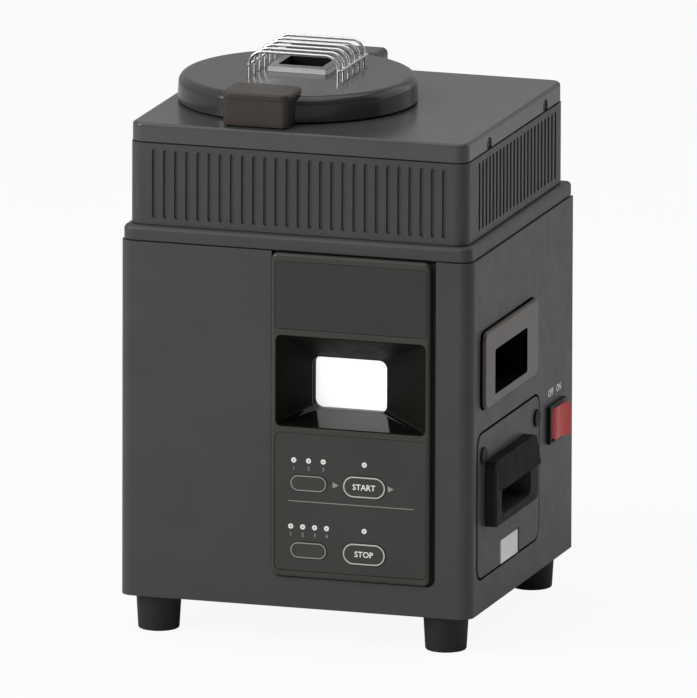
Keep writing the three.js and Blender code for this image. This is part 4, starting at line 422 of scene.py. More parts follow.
# Colour, roughness, metal, specular level and depth of grain, then what isn't as usual: the
# grain's scale, the spread of colour, the scale of its patches and the grain's stretch
FINISHES = {
    "body_paint": ((66, 66, 66), 0.42, 0, 0.35, 0.05, 700),
    "cover_paint": ((72, 72, 72), 0.2, 0, 0.45, 0.03, 700),
    "lid_enamel": ((52, 54, 53), 0.16, 0, 0.5, 0.02, 500),
    "bezel_plastic": ((58, 59, 54), 0.34, 0, 0.35, 0.1, 1600),
    "niche_gloss": ((14, 13, 11), 0.1, 0, 0.22, 0.01),
    "niche_matt": ((17, 16, 12), 0.6, 0, 0.1, 0.03),
    # painted highlight for the front edge of the window's sleeve
    "painted_rim_highlight": ((110, 107, 100), 0.35, 0, 0.5, 0.02),
    "plate_gloss": ((47, 50, 48), 0.2, 0, 0.35, 0.01),
    "panel_satin": ((60, 61, 58), 0.4, 0, 0.3, 0.08, 2200),
    "key_satin": ((62, 62, 59), 0.42, 0, 0.3, 0.08, 2200),
    "black_plastic": ((23, 25, 24), 0.45, 0, 0.25, 0.12, 1500),
    "pull_plastic": ((18, 21, 20), 0.5, 0, 0.08, 0.1, 1500),
    # painted shade and painted light: a darker and a lighter copy of the pull's plastic
    "pull_painted_shade": ((13, 16, 15), 0.5, 0, 0.05, 0.1, 1500),
    "pull_pocket_painted_light": ((58, 62, 60), 0.55, 0, 0.1, 0.1, 1500),
    "handle_brown": ((60, 52, 46), 0.36, 0, 0.35, 0.05, 1500),
    "foot_rubber": ((33, 35, 34), 0.62, 0, 0.3, 0.16, 1200),
    "rocker_red": ((216, 94, 90), 0.4, 0, 0.35, 0.05, 1500),
    # painted light: a lighter copy of the rocker's red
    "rocker_red_painted_light": ((252, 128, 124), 0.4, 0, 0.35, 0.05, 1500),
    "chrome_wire": ((240, 240, 242), 0.12, 1, 0.5, 0.01, 900, 0.02),
    "bright_steel": ((196, 196, 194), 0.24, 1, 0.5, 0.05, 300, 0.03, 22, (1, 14, 1)),
    "silver_plate": ((254, 254, 254), 0.4, 0, 0.5, 0.02, 900, 0.01),
    # painted highlight for the vent frame's upright faces
    "vent_painted_highlight": ((222, 222, 222), 0.3, 0.15, 0.5, 0.01, 900, 0.02),
    "vent_steel": ((138, 138, 136), 0.28, 0.7, 0.5, 0.03, 300, 0.03),
    "zinc_sheet": ((168, 171, 174), 0.36, 0.9, 0.5, 0.08, 900, 0.08, 60),
    "screw_black": ((34, 35, 35), 0.36, 0.6, 0.5, 0.08, 900, 0.04, 90),
    "smoked_plastic": ((76, 68, 63), 0.22, 0, 0.3, 0.01),
    # painted shade for the faces inside the chaff case
    "chaff_painted_shade": ((9, 8, 7), 0.4, 0, 0.15, 0.02),
    # painted shade: a near-black finish for faces in gaps, openings, seams and recesses
    "painted_shade": ((24, 24, 24), 0.6, 0, 0.15, 0.04),
    "print_grey": ((150, 150, 146), 0.5, 0, 0.5, 0.02, 900, 0.03),
    "print_soft": ((196, 196, 192), 0.5, 0, 0.5, 0.02, 900, 0.02),
    "print_white": ((254, 254, 251), 0.5, 0, 0.5, 0.02, 900, 0.01),
    "indicator_grey": ((150, 150, 146), 0.3, 0, 0.5, 0.02, 900, 0.03),
    "plug_plastic": ((30, 31, 31), 0.5, 0, 0.1, 0.05, 1500),
    "silicone": ((138, 134, 128), 0.55, 0, 0.5, 0.05),
    "nylon": ((216, 213, 203), 0.45, 0, 0.5, 0.04),
    "ceramic": ((214, 209, 198), 0.65, 0, 0.5, 0.12, 600),
    "board_green": ((47, 90, 58), 0.45, 0, 0.5, 0.08, 900, 0.12, 140),
    "motor_steel": ((141, 144, 146), 0.36, 0.85, 0.5, 0.08),
}
LOOKS = {name: finish(name, *values) for name, values in FINISHES.items()}


def glowing(name, rgb, strength):
    """A faintly uneven surface that gives light."""
    look = Look(name)
    soft = look.mix(look.ramp(look.noise(40), 0.0, 1.0), tone(rgb, 0.985), tone(rgb))
    look.links.new(soft, look.shader.inputs["Base Color"])
    look.links.new(soft, look.shader.inputs["Emission Color"])
    put(look.shader, {"Emission Strength": strength, "Roughness": 0.2})
    return look.material


LOOKS["window_light"] = glowing("window_light", (254, 254, 252), 0.78)


# Casing, base and feet

TOP_FLANGE, PANEL_RISE = 12, 9
REAR_X, REAR_HALF, REAR_YS, REAR_GAP = 117.9, 5.7, (112, 113.1), 0.1
# Openings in the right wall: two places along the depth, two heights and a corner's radius
DOOR_OPENING = (-102, 40.8, DOOR_BOTTOM - 1.2, 149.3, 10.5)
CHAFF_OPENING = (-94.5, 28.3, 163.7, 218.5, 6.9)
SWITCH_OPENING = (58.9, 93.1, 109.7, 132.7, 1.5)
PANEL_OPENING = (-16.3, PANEL_EDGE, 45.9, CASE_TOP + PANEL_RISE, 5.5)


def make_casing():
    body = cut(
        prism("z", plan(0), FLOOR_GAP, CASE_TOP),
        prism("z", plan(WALL, rear=BACK + OVERRUN), FLOOR_GAP - OVERRUN, CASE_TOP - WALL),
        prism("z", plan(TOP_FLANGE, rear=BACK + OVERRUN), CASE_TOP - OVERRUN, CASE_TOP + OVERRUN),
    )
    flanges = [
        block(side * REAR_X - REAR_HALF, side * REAR_X + REAR_HALF, *REAR_YS,
              FLOOR_GAP + REAR_GAP, CASE_TOP - REAR_GAP)
        for side in (-1, 1)
    ]
    body = join(body, *flanges)
    openings = [
        prism("x", round_rect(*opening), HALF - WALL - OVERRUN, HALF + OVERRUN)
        for opening in (DOOR_OPENING, CHAFF_OPENING, SWITCH_OPENING)
    ]
    front = prism("y", round_rect(*PANEL_OPENING), FRONT - OVERRUN, FRONT + 5)
    return cut(body, front, *openings)


def edges_side_opening(face):
    """Whether a face is the cut edge of an opening in the right wall."""
    return face.center.x / MM - SHIFT.x > HALF - WALL and abs(face.normal.x) < SLANT


casing = piece("casing_body", make_casing(), "housing", ["main_casing"], "body_paint", bevel=0.35)
# the cut edges of the openings in the right wall are painted in shade
second_look(casing, "painted_shade", edges_side_opening)

FOOT_PROFILE = (
    [(0, 1.5), (9, 1.5), (10.5, 0), (12.8, 0)]
    + arc(12.8, 1.2, 1.2, -QUARTER, 0, 5)[1:]
    + [(15.1, 20), (15.5, FLOOR_GAP), (0, FLOOR_GAP)]
)
FOOT_X, FOOT_Y = 101.4, 97.1
for depth, sy in (("front", -1), ("rear", 1)):
    for side, sx in (("left", -1), ("right", 1)):
        node = f"foot_{depth}_{side}"
        foot = lathe(FOOT_PROFILE, sx * FOOT_X, sy * FOOT_Y, steps=64)
        piece(node + "_rubber", foot, "housing", [node], "foot_rubber", bevel=0.25)


# Shoulder, ribbed casing and top cover

SHOULDER_INSET, SHOULDER_ROUND, SHOULDER_STEP = 1.2, 3.6, 2
SHOULDER_INSIDE, SHOULDER_MOUTH, SHOULDER_ROOF = 3.4, 13.06, 2.2


def make_shoulder():
    body = join(
        slab("z", lambda s: plan(SHOULDER_INSET + s), CASE_TOP + SHADOW, SHOULDER_TOP, 0,
             SHOULDER_ROUND, steps=8),
        prism("z", plan(SHOULDER_INSET + REVEAL), CASE_TOP, CASE_TOP + SHOULDER_STEP),
    )
    return cut(
        body,
        prism("z", plan(SHOULDER_INSIDE), CASE_TOP - OVERRUN, SHOULDER_TOP - SHOULDER_ROOF),
        prism("z", plan(SHOULDER_MOUTH), CASE_TOP - OVERRUN, SHOULDER_TOP + OVERRUN),
    )


piece("shoulder_sheet", make_shoulder(), "housing", ["shoulder_cover"], "body_paint", bevel=0.25)

UPPER_INSET, UPPER_CORNER, FOOT_INSET = 5.06, 9, 0.9
COVER_INSET, COVER_CORNER, COVER_EDGE, COVER_ROUND, COVER_SHEET = 5.56, 8.5, 0.3, 2.2, 1.5
RIM_INSET, RIM_CORNER, RIM_RISE, MOUTH_CORNER = COVER_INSET + COVER_SHEET + SEAM, 6.7, 10, 5.5
BACKING_HALF, BACKING_FRONT, BACKING_BACK = 109.9, 0.6, 4
RIBS_LOW, RIBS_HIGH = SHOULDER_TOP + 5.2, UPPER_TOP - 4
GROOVE_SHIFT, GROOVE_HALF, GROOVE_DEPTH, GROOVE_ROUND = 1.1, 1.5, 1.4, 1.4
GROOVE_COUNT, GROOVE_PITCH = 27, 7.85
SLOT_FIRST, SLOT_COUNT, SLOT_PITCH, SLOT_HALF, SLOT_ROUND = -81.7, 23, 7.81, 1.8, 1.7
# Screws that hold the cover, along the depth, and the notches that clear them
FIXING_YS = (-58, 69)
NOTCH_HALF, NOTCH_REACH, NOTCH_ROUND, NOTCH_DEPTH = 4.75, 8.5, 4.7, 1.8
COVER_HOLE = 62


def make_upper():
    outer = join(
        prism("z", upper_plan(UPPER_INSET, UPPER_CORNER), SHOULDER_TOP + SHADOW, UPPER_TOP),
        prism("z", upper_plan(UPPER_INSET + FOOT_INSET, UPPER_CORNER - FOOT_INSET), SHOULDER_TOP,
              SHOULDER_TOP + SHOULDER_STEP),
    )
    hollow = prism("z", upper_plan(UPPER_INSET + WALL, UPPER_CORNER - WALL),
                   SHOULDER_TOP - OVERRUN, UPPER_TOP - WALL)
    rim = prism("z", upper_plan(RIM_INSET, RIM_CORNER), UPPER_TOP - WALL, UPPER_TOP + RIM_RISE)
    mouth = prism("z", upper_plan(RIM_INSET + WALL, MOUTH_CORNER), SHOULDER_TOP,
                  UPPER_TOP + RIM_RISE + OVERRUN)
    face, side = FRONT + UPPER_INSET, HALF - UPPER_INSET
    backing = block(-BACKING_HALF, BACKING_HALF, face + BACKING_FRONT, face + BACKING_BACK,
                    SHOULDER_TOP, UPPER_TOP - BACKING_FRONT)
    body = join(cut(join(cut(outer, hollow), rim), mouth), backing)
    tools = []
    for i in range(GROOVE_COUNT):
        x = GROOVE_SHIFT + (i - GROOVE_COUNT // 2) * GROOVE_PITCH
        outline = round_rect(x - GROOVE_HALF, x + GROOVE_HALF, RIBS_LOW, RIBS_HIGH,
                             GROOVE_ROUND, 5)
        tools.append(prism("y", outline, face - OVERRUN, face + GROOVE_DEPTH))
    for i in range(SLOT_COUNT):
        y = SLOT_FIRST + i * SLOT_PITCH
        outline = round_rect(y - SLOT_HALF, y + SLOT_HALF, RIBS_LOW, RIBS_HIGH, SLOT_ROUND, 5)
        tools += side_tools(outline, side, WALL + OVERRUN)
    return cut(body, merged(tools))


piece("ribbed_casing", make_upper(), "housing", ["upper_casing"], "body_paint", bevel=0.18,
      segments=2)


def make_cover():
    body = slab("z", lambda s: upper_plan(COVER_INSET + s, COVER_CORNER - s), UPPER_TOP + SHADOW,
                COVER_TOP, COVER_EDGE, COVER_ROUND, steps=6)
    reach = HALF - COVER_INSET
    notches = []
    for y in FIXING_YS:
        outline = round_rect(y - NOTCH_HALF, y + NOTCH_HALF, UPPER_TOP - NOTCH_REACH,
                             UPPER_TOP + NOTCH_REACH, NOTCH_ROUND, 10)
        notches += side_tools(outline, reach, NOTCH_DEPTH)
    return cut(
        body,
        prism("z", upper_plan(COVER_INSET + COVER_SHEET, COVER_CORNER - COVER_SHEET),
              UPPER_TOP - OVERRUN, COVER_TOP - COVER_SHEET),
        rod("z", COVER_HOLE, UPPER_TOP, COVER_TOP + OVERRUN, LID_X, LID_Y, steps=96),
        merged(notches),
    )


piece("top_sheet", make_cover(), "housing", ["top_cover"], "cover_paint", bevel=0.2)

HEAD_RADIUS, HEAD_HEIGHT, HEAD_ROUND, HEAD_STEPS = 2.9, 1.6, 1.3, 5
SHANK_RADIUS, SHANK_LENGTH, SHANK_OVERLAP = 1.4, 6, 0.4
RECESS_REACH, RECESS_HALF, RECESS_DEPTH = 1.5, 0.32, 0.9
STRIP_FRONT, STRIP_BACK, STRIP_DEPTH = -64, 75, 2.5
STRIP_LOW, STRIP_HIGH, SCREW_RISE = 0.6, 8.6, 4.6


def screw(seat, y, z, sign):
    """A pan head with a cross recess, and a short shank behind it, facing left or right."""
    end = seat + sign * HEAD_HEIGHT
    rings = [(circle(y, z, HEAD_RADIUS, 32), seat)]
    for i in range(HEAD_STEPS + 1):
        t = QUARTER * i / HEAD_STEPS
        rings.append((
            circle(y, z, HEAD_RADIUS - HEAD_ROUND * (1 - cos(t)), 32),
            end - sign * HEAD_ROUND * (1 - sin(t)),
        ))
    head = loft("x", rings if sign > 0 else rings[::-1])
    ends = sorted((seat - sign * SHANK_LENGTH, seat + sign * SHANK_OVERLAP))
    shank = rod("x", SHANK_RADIUS, *ends, y, z, steps=20)
    recess = sorted((end - sign * RECESS_DEPTH, end + sign))
    slots = [
        prism("x", [(y - wide, z - tall), (y + wide, z - tall), (y + wide, z + tall),
                    (y - wide, z + tall)], *recess)
        for wide, tall in ((RECESS_REACH, RECESS_HALF), (RECESS_HALF, RECESS_REACH))
    ]
    return cut(join(head, shank), *slots)


def make_fixings(side):
    rim = side * (HALF - RIM_INSET)
    inner = rim - side * WALL
    strip = block(*sorted((inner, inner - side * STRIP_DEPTH)), STRIP_FRONT, STRIP_BACK,
                  UPPER_TOP + STRIP_LOW, UPPER_TOP + STRIP_HIGH)
    return merged([strip, *[screw(rim, y, UPPER_TOP + SCREW_RISE, side) for y in FIXING_YS]])


for side, node in ((-1, "cover_fixings_left"), (1, "cover_fixings_right")):
    piece(node + "_screws", make_fixings(side), "housing", [node], "screw_black", bevel=0)


# Front moulding

bezel_outline = shrinking(-16, BEZEL_EDGE, BEZEL_BOTTOM, BEZEL_TOP, 4.5, least=0.45)
niche_outline = shrinking(-12.6, 93.2, 149.9, 212.8, 4)
window_outline = shrinking(4, 56.4, 156.6, 192.6, 5.5)
header_outline = shrinking(-13.1, 93.7, 217.1, 263.6, 3)
panel_outline = shrinking(-13, 93.6, 51.2, 145.9, 4, least=0.5)
NICHE_BACK = BEZEL_FACE + 30.6
SLEEVE_BACK = NICHE_BACK + 7.6
COLLAR_BACK = SLEEVE_BACK + 8.6
FLANGE_SHEET = 2
BEZEL_BACK = FRONT + WALL + SEAM + FLANGE_SHEET
BEZEL_ROUND, NICHE_PLAY, PLATE_PLAY, PANEL_REST = 2.4, 0.02, 0.15, 3
FLANGE_XS, FLANGE_ZS = (-19, 103), (43.7, CASE_TOP - 1.5)
HEADER_XS, HEADER_ZS, HEADER_WALL = (-11.4, 92), (217.1, 264.2), 3.4
HEADER_SHEET, PANEL_SEAT = 1.3, 2.3
NICHE_LIP_FRONT, NICHE_LIP_BACK, NICHE_SHEET, NICHE_WALL = 0.9, 1.6, 0.7, 1.2
SLEEVE_WALL, COLLAR_GROW = 1.5, 2.8
RIM_WIDE, RIM_FRONT, RIM_BACK = 0.55, 0.25, 0.5


def make_bezel():
    before, behind = BEZEL_FACE - OVERRUN, BEZEL_BACK + OVERRUN
    body = join(
        slab("y", bezel_outline, BEZEL_FACE, BEZEL_BACK, BEZEL_ROUND, 0, steps=8),
        block(*FLANGE_XS, BEZEL_BACK - FLANGE_SHEET, BEZEL_BACK, *FLANGE_ZS),
    )
    return cut(
        body,
        block(*HEADER_XS, BEZEL_FACE + HEADER_WALL, behind, *HEADER_ZS),
        prism("y", niche_outline(-NICHE_PLAY), before, behind),
        prism("y", header_outline(-PLATE_PLAY), before, BEZEL_FACE + HEADER_SHEET),
        prism("y", panel_outline(-PLATE_PLAY), before, BEZEL_FACE + PANEL_SEAT),
        prism("y", panel_outline(PANEL_REST), BEZEL_FACE, behind),
    )


def make_niche():
    """The funnel from the moulding's face to the window, with its sleeve and collar."""
    lip, collar = BEZEL_FACE + NICHE_LIP_BACK, COLLAR_GROW + SLEEVE_WALL
    body = loft("y", [
        (niche_outline(0), BEZEL_FACE + NICHE_LIP_FRONT), (niche_outline(0), lip),
        (niche_outline(-NICHE_WALL), lip + STEP), (window_outline(-SLEEVE_WALL), NICHE_BACK),
        (window_outline(-SLEEVE_WALL), SLEEVE_BACK - SLEEVE_WALL),
        (window_outline(-collar), SLEEVE_BACK - SLEEVE_WALL + STEP),
        (window_outline(-collar), COLLAR_BACK),
    ])
    inner = loft("y", [
        (niche_outline(NICHE_SHEET), BEZEL_FACE - 1),
        (niche_outline(NICHE_SHEET), BEZEL_FACE + NICHE_WALL),
        (window_outline(0), NICHE_BACK), (window_outline(0), SLEEVE_BACK),
        (window_outline(-COLLAR_GROW), SLEEVE_BACK + STEP),
        (window_outline(-COLLAR_GROW), COLLAR_BACK + 1),
    ])
    return cut(body, inner)


moulding = piece("front_moulding", make_bezel(), "housing", ["panel_bezel"], "bezel_plastic",
                 bevel=0.35)
flange_plane = (SHIFT.y + BEZEL_BACK - FLANGE_SHEET - 0.5) * MM
# the flange's faces seen in the gap beside the moulding are painted in shade
second_look(moulding, "painted_shade", lambda face: face.center.y > flange_plane)
niche = piece("window_niche", make_niche(), "housing", (), "niche_matt", bevel=0.35)
second_look(niche, "niche_gloss", lambda face: face.normal.z > 0.5)
# a light ring round the window's sleeve: a painted highlight on its front edge
highlight_ring = cut(
    prism("y", window_outline(-RIM_WIDE), NICHE_BACK - RIM_FRONT, NICHE_BACK + RIM_BACK),
    prism("y", window_outline(0), NICHE_BACK - 2, NICHE_BACK + 2),
)
piece("sleeve_highlight", highlight_ring, "housing", (), "painted_rim_highlight", bevel=0)
header = slab("y", header_outline, BEZEL_FACE + 0.1, BEZEL_FACE + HEADER_SHEET, 0.3, 0, steps=4)
piece("header_glass", header, "housing", ["header_plate"], "plate_gloss", bevel=0)
lens = slab("y", lambda s: window_outline(s - 2.5), SLEEVE_BACK, SLEEVE_BACK + 2, 0, 0.3)
piece("window_lens", lens, "housing", ["display_lens"], "window_light", bevel=0.2)

# Keys and lamps: small keys on the left, large ones on the right, in two rows

SMALL_X, LARGE_X = 11, 50.2
UPPER_KEYS, LOWER_KEYS, UPPER_LAMPS, LOWER_LAMPS = 111.8, 65.6, 127.3, 81.6
SMALL_KEY, LARGE_KEY = (25.5, 11), (29.8, 14.6)
KEYS = (
    ("taste_key", "taste_button", SMALL_X, UPPER_KEYS, *SMALL_KEY),
    ("start_key", "start_button", LARGE_X, UPPER_KEYS, *LARGE_KEY),
    ("adjust_key", "adjust_button", SMALL_X, LOWER_KEYS, *SMALL_KEY),
    ("stop_key", "stop_button", LARGE_X, LOWER_KEYS, *LARGE_KEY),
)
LAMP_RUNS = ((0.5, 10.4, 3, UPPER_LAMPS), (-1.5, 8.4, 4, LOWER_LAMPS))
LAMPS = [(LARGE_X, UPPER_LAMPS), (LARGE_X, LOWER_LAMPS)]
LAMPS += [(x + step * i, z) for x, step, count, z in LAMP_RUNS for i in range(count)]
PANEL_FACE, PANEL_SHEET = BEZEL_FACE + 0.3, 2
KEY_PROUD, KEY_PLAY, KEY_LIP, KEY_BACK = 0.7, 0.3, 1, 3.2
LINE_INSET, LARGE_LINE, SMALL_LINE, LINE_LIFT = 0.15, 0.9, 0.75, 0.06
LAMP_HOLE, LAMP_RADIUS, LAMP_RISE = 1.9, 0.65, 0.3
RING_RADIUS, RING_HOLE, RING_LIFT = 1.75, 0.7, 0.2
PRINT_LIFT, PRINT_DEPTH, RULE_XS, RULE_ZS = 0.05, 0.2, (-3.6, 84.9), (98.85, 99.35)
NUMERAL_DROP, NUMERAL_HEIGHT, WORD_HEIGHT = 5.3, 2.6, 4
TRIANGLES, TRIANGLE_HALF = ((27.9, 32.2), (66.7, 70.9)), 2.1


def pill(x, z, width, height, grow=0.0, steps=12):
    r = height / 2 + grow
    return round_rect(x - width / 2 - grow, x + width / 2 + grow, z - r, z + r, r * 0.999, steps)


def make_panel():
    body = slab("y", panel_outline, PANEL_FACE, PANEL_FACE + PANEL_SHEET, 0.3, 0, steps=4)
    before, behind = PANEL_FACE - OVERRUN, PANEL_FACE + PANEL_SHEET + OVERRUN
    holes = [prism("y", pill(x, z, w, h, KEY_PLAY), before, behind) for _, _, x, z, w, h in KEYS]
    holes += [rod("y", LAMP_HOLE, before, behind, x, z, steps=24) for x, z in LAMPS]
    return cut(body, merged(holes))


def make_cap(x, z, w, h, face):
    back = PANEL_FACE + KEY_BACK
    cap = slab("y", lambda s: pill(x, z, w, h, -s), face, back, 0.5, 0, steps=5)
    return join(cap, prism("y", pill(x, z, w, h, KEY_LIP), PANEL_FACE + PANEL_SHEET, back))


def make_key_line(x, z, w, h, face, width):
    """The printed line round a key's face."""
    outer = slab("y", lambda s: pill(x, z, w, h, -LINE_INSET - s), face - LINE_LIFT, face + 0.7,
                 0.04, 0, steps=2)
    return cut(outer, prism("y", pill(x, z, w, h, -LINE_INSET - width), face - 1, face + 1))


def make_lamp(x, z):
    rings = [(circle(x, z, LAMP_RADIUS, 24), PANEL_FACE + 3)]
    for i in range(6):
        t = QUARTER * i / 6
        rings.append((circle(x, z, LAMP_RADIUS * cos(t), 24),
                      PANEL_FACE + PRINT_LIFT - LAMP_RISE * sin(t)))
    return loft("y", rings)


def make_lamp_ring(x, z):
    return cut(
        rod("y", RING_RADIUS, PANEL_FACE - RING_LIFT, PANEL_FACE + 2, x, z, steps=28),
        rod("y", RING_HOLE, PANEL_FACE - 1, PANEL_FACE + OVERRUN, x, z, steps=28),
    )


piece("control_face", make_panel(), "housing", ["control_plate"], "panel_satin", bevel=0.12,
      segments=2)
key_face = PANEL_FACE - KEY_PROUD
for node, body, *key in KEYS:
    large = tuple(key[2:]) == LARGE_KEY
    piece(node + "_cap", make_cap(*key, key_face), body, [node], "key_satin", bevel=0)
    line = make_key_line(*key, key_face, LARGE_LINE if large else SMALL_LINE)
    piece(node + "_line", line, body, (), "print_soft" if large else "print_grey", bevel=0)
piece("indicator_lamps", merged([make_lamp(x, z) for x, z in LAMPS]), "housing",
      ["light_guide"], "indicator_grey", bevel=0)
piece("indicator_rings", merged([make_lamp_ring(x, z) for x, z in LAMPS]), "housing", (),
      "print_white", bevel=0)

print_front, print_back = PANEL_FACE - PRINT_LIFT, PANEL_FACE + PRINT_DEPTH
marks = [block(*RULE_XS, print_front, print_back, *RULE_ZS)]
for x0, x1 in TRIANGLES:
    triangle = [(x0, UPPER_KEYS - TRIANGLE_HALF), (x1, UPPER_KEYS),
                (x0, UPPER_KEYS + TRIANGLE_HALF)]
    marks.append(prism("y", triangle, print_front, print_back))
UPRIGHT = Matrix.Rotation(QUARTER, 4, "X")
for x, step, count, z in LAMP_RUNS:
    for i in range(count):
        place = (x + step * i, PANEL_FACE, z - NUMERAL_DROP)
        marks.append(letters(str(i + 1), NUMERAL_HEIGHT, place, UPRIGHT))
piece("panel_marks", merged(marks), "housing", (), "print_grey", bevel=0)
for word, body, z in (("START", "start_button", UPPER_KEYS), ("STOP", "stop_button", LOWER_KEYS)):
    mark = letters(word, WORD_HEIGHT, (LARGE_X, key_face, z), UPRIGHT)
    piece(word.lower() + "_word", mark, body, (), "print_white", bevel=0)


# Power switch

ROCKER_Y, ROCKER_Z = 77.9, 121.2
switch_outline = shrinking(57, 95, 108.5, 134.7, 1.2)
SWITCH_FRONT, SWITCH_REAR, SWITCH_LOW, SWITCH_HIGH = 59.2, 92.8, 110, 132.4
WELL_LONG, WELL_TALL, WELL_DEPTH, WELL_ROUND = 12.1, 11.2, 10, 0.75
STEP_FRONT, STEP_DEPTH = 58.6, 6
SWITCH_PROUD, SWITCH_DEPTH = 2.9, 20
# The rocker's section: its radius, how low and high its ends reach, and its face's valley
ROCKER_RADIUS, ROCKER_LOW, ROCKER_FRONT, ROCKER_REAR, ROCKER_HALF = 11.8, 6, 4.2, 8.4, 10.9
ROCKER_FACE = [(-3, 3.8), (0, 4.2), (3.2, 5.3), (6, 6.9)]
SWITCH_WORDS, SWITCH_WORD_Z, SWITCH_WORD_HEIGHT = (("OFF", 66), ("ON", 84)), 143, 5


def make_switch_housing():
    body = join(
        slab("x", switch_outline, HALF, HALF + SWITCH_PROUD, 0, 0.5, steps=4),
        prism("x", round_rect(SWITCH_FRONT, SWITCH_REAR, SWITCH_LOW, SWITCH_HIGH, 1.5),
              HALF - SWITCH_DEPTH, HALF + 0.5),
    )
    well = round_rect(ROCKER_Y - WELL_LONG, ROCKER_Y + WELL_LONG, ROCKER_Z - WELL_TALL,
                      ROCKER_Z + WELL_TALL, WELL_ROUND)
    step = round_rect(STEP_FRONT, ROCKER_Y - ROCKER_RADIUS, SWITCH_LOW, SWITCH_HIGH, WELL_ROUND)
    return cut(
        body,
        prism("x", well, HALF - WELL_DEPTH, HALF + OVERRUN),
        prism("x", step, HALF - STEP_DEPTH, HALF + OVERRUN),
    )


def make_rocker():
    lowest, front_end, rear_end = (
        asin(reach / ROCKER_RADIUS) for reach in (ROCKER_LOW, ROCKER_FRONT, ROCKER_REAR)
    )
    front = arc(0, 0, ROCKER_RADIUS, pi + lowest, pi - front_end, 8)
    rear = arc(0, 0, ROCKER_RADIUS, rear_end, -lowest, 10)
    section = [(y, x) for x, y in [*front, *ROCKER_FACE, *rear]]
    return prism("z", section[::-1], -ROCKER_HALF, ROCKER_HALF)


piece("switch_frame", make_switch_housing(), "housing", ["rocker_housing"], "black_plastic",
      bevel=0.2)
paddle = piece("switch_paddle", make_rocker(), "rocker", ["power_rocker"], "rocker_red",
               bevel=0.45, segments=4, place=(HALF, ROCKER_Y, ROCKER_Z))
# the rocker's front faces take the lighter red: painted light
second_look(paddle, "rocker_red_painted_light", lambda face: face.normal.y < -0.7)
SIDEWAYS = Matrix(((0, 0, 1, 0), (1, 0, 0, 0), (0, 1, 0, 0), (0, 0, 0, 1)))
words = [letters(word, SWITCH_WORD_HEIGHT, (HALF, y, SWITCH_WORD_Z), SIDEWAYS)
         for word, y in SWITCH_WORDS]
piece("switch_words", merged(words), "housing", (), "print_white", bevel=0)


# Bean drawer

PULL_FRONT, PULL_BACK, PULL_BOTTOM, PULL_TOP, PULL_PROUD = -83.1, 12.8, 81.6, 126.7, 8.1
PULL_LIP, PULL_DEPTH, PULL_WALL, PULL_ROUND = 106.5, 9, 1.6, 1.6
# The pocket in the pull: its front rim, its rear rim and its floor
RIM_AHEAD, RIM_BEHIND, POCKET_LOW, POCKET_CORNER = 12.4, 17.6, 88.3, 5
HOOD_TOP, HOOD_BACK, HOOD_SHEET, HOOD_PROUD, HOOD_START = 1, 1.2, 0.6, 1.9, -0.4
NEAR = 0.2  # how far outside the pocket's outline a face still counts as inside it
DOOR_SHEET, DOOR_REACH, LABEL_SHEET = 2, 6, 1.6
LABEL_FRONT, LABEL_BACK, LABEL_TOP = -46, -8, 64.8
door_outline = shrinking(-98.9, 39.8, DOOR_BOTTOM, 147.6, 9, 12)
pull_outline = shrinking(PULL_FRONT, PULL_BACK, PULL_BOTTOM, PULL_TOP, 5, least=0.5)
PLUGS, PLUG_Z = (("drawer_plug_front", -87.7), ("drawer_plug_rear", 33.1)), 132.4
PLUG_HOLE, PLUG_STEM, PLUG_RADIUS, PLUG_PROUD, PLUG_ROUND = 5.7, 5.4, 6, 1, 0.4


def make_door():
    body = slab("x", door_outline, HALF - DOOR_SHEET, HALF, 0, 0.5, steps=4)
    inside, outside = HALF - DOOR_REACH, HALF + OVERRUN
    plugs = [rod("x", PLUG_HOLE, inside, outside, y, PLUG_Z) for _, y in PLUGS]
    return cut(
        body,
        prism("x", pull_outline(-0.3), inside, outside),
        block(HALF - LABEL_SHEET, outside, LABEL_FRONT - 2.2, LABEL_BACK + 2, 40, LABEL_TOP + 0.7),
        *plugs,
    )


def make_pull():
    """A deep pocket under a hood that slopes out from its top edge to its lip."""
    face = HALF + PULL_PROUD
    floor = HALF - PULL_DEPTH
    rims = (PULL_FRONT + RIM_AHEAD, PULL_BACK - RIM_BEHIND)
    body = slab("x", pull_outline, floor - PULL_WALL, face, 0, PULL_ROUND, steps=6)

    def section(proud):
        return [(face - HOOD_BACK, PULL_TOP - HOOD_TOP), (face + proud, PULL_LIP),
                (face - HOOD_BACK, PULL_LIP - HOOD_SHEET)]

    hood = loft("y", [
        (section(HOOD_START), PULL_FRONT + 0.3), (section(HOOD_START), PULL_FRONT + 3),
        (section(HOOD_PROUD), PULL_FRONT + 15), (section(HOOD_PROUD), PULL_BACK - 0.3),
    ])
    slope = [(face - 1.7, PULL_TOP + 2), (face + HOOD_PROUD, PULL_LIP), (face + 9, PULL_LIP),
             (face + 9, PULL_TOP + 2)]
    body = cut(body, prism("y", slope, PULL_FRONT - 1, PULL_BACK + 1))
    top = PULL_LIP - HOOD_SHEET
    pocket = join(
        prism("x", round_rect(*rims, POCKET_LOW, top, POCKET_CORNER), floor, face + 8.4),
        block(floor, face + 8.4, *rims, top - POCKET_CORNER, top),
    )
    reach = prism("x", round_rect(*rims, POCKET_LOW, PULL_TOP - 7, POCKET_CORNER), floor, face - 7)
    return cut(join(body, hood), pocket, reach)


def in_pull_pocket(face):
    """Whether a face is inside the pull's pocket."""
    place = face.center / MM - SHIFT
    across = PULL_FRONT + RIM_AHEAD - NEAR < place.y < PULL_BACK - RIM_BEHIND + NEAR
    upright = POCKET_LOW - NEAR < place.z < PULL_TOP - 7 + NEAR
    return across and upright and place.x < HALF + PULL_PROUD - 1


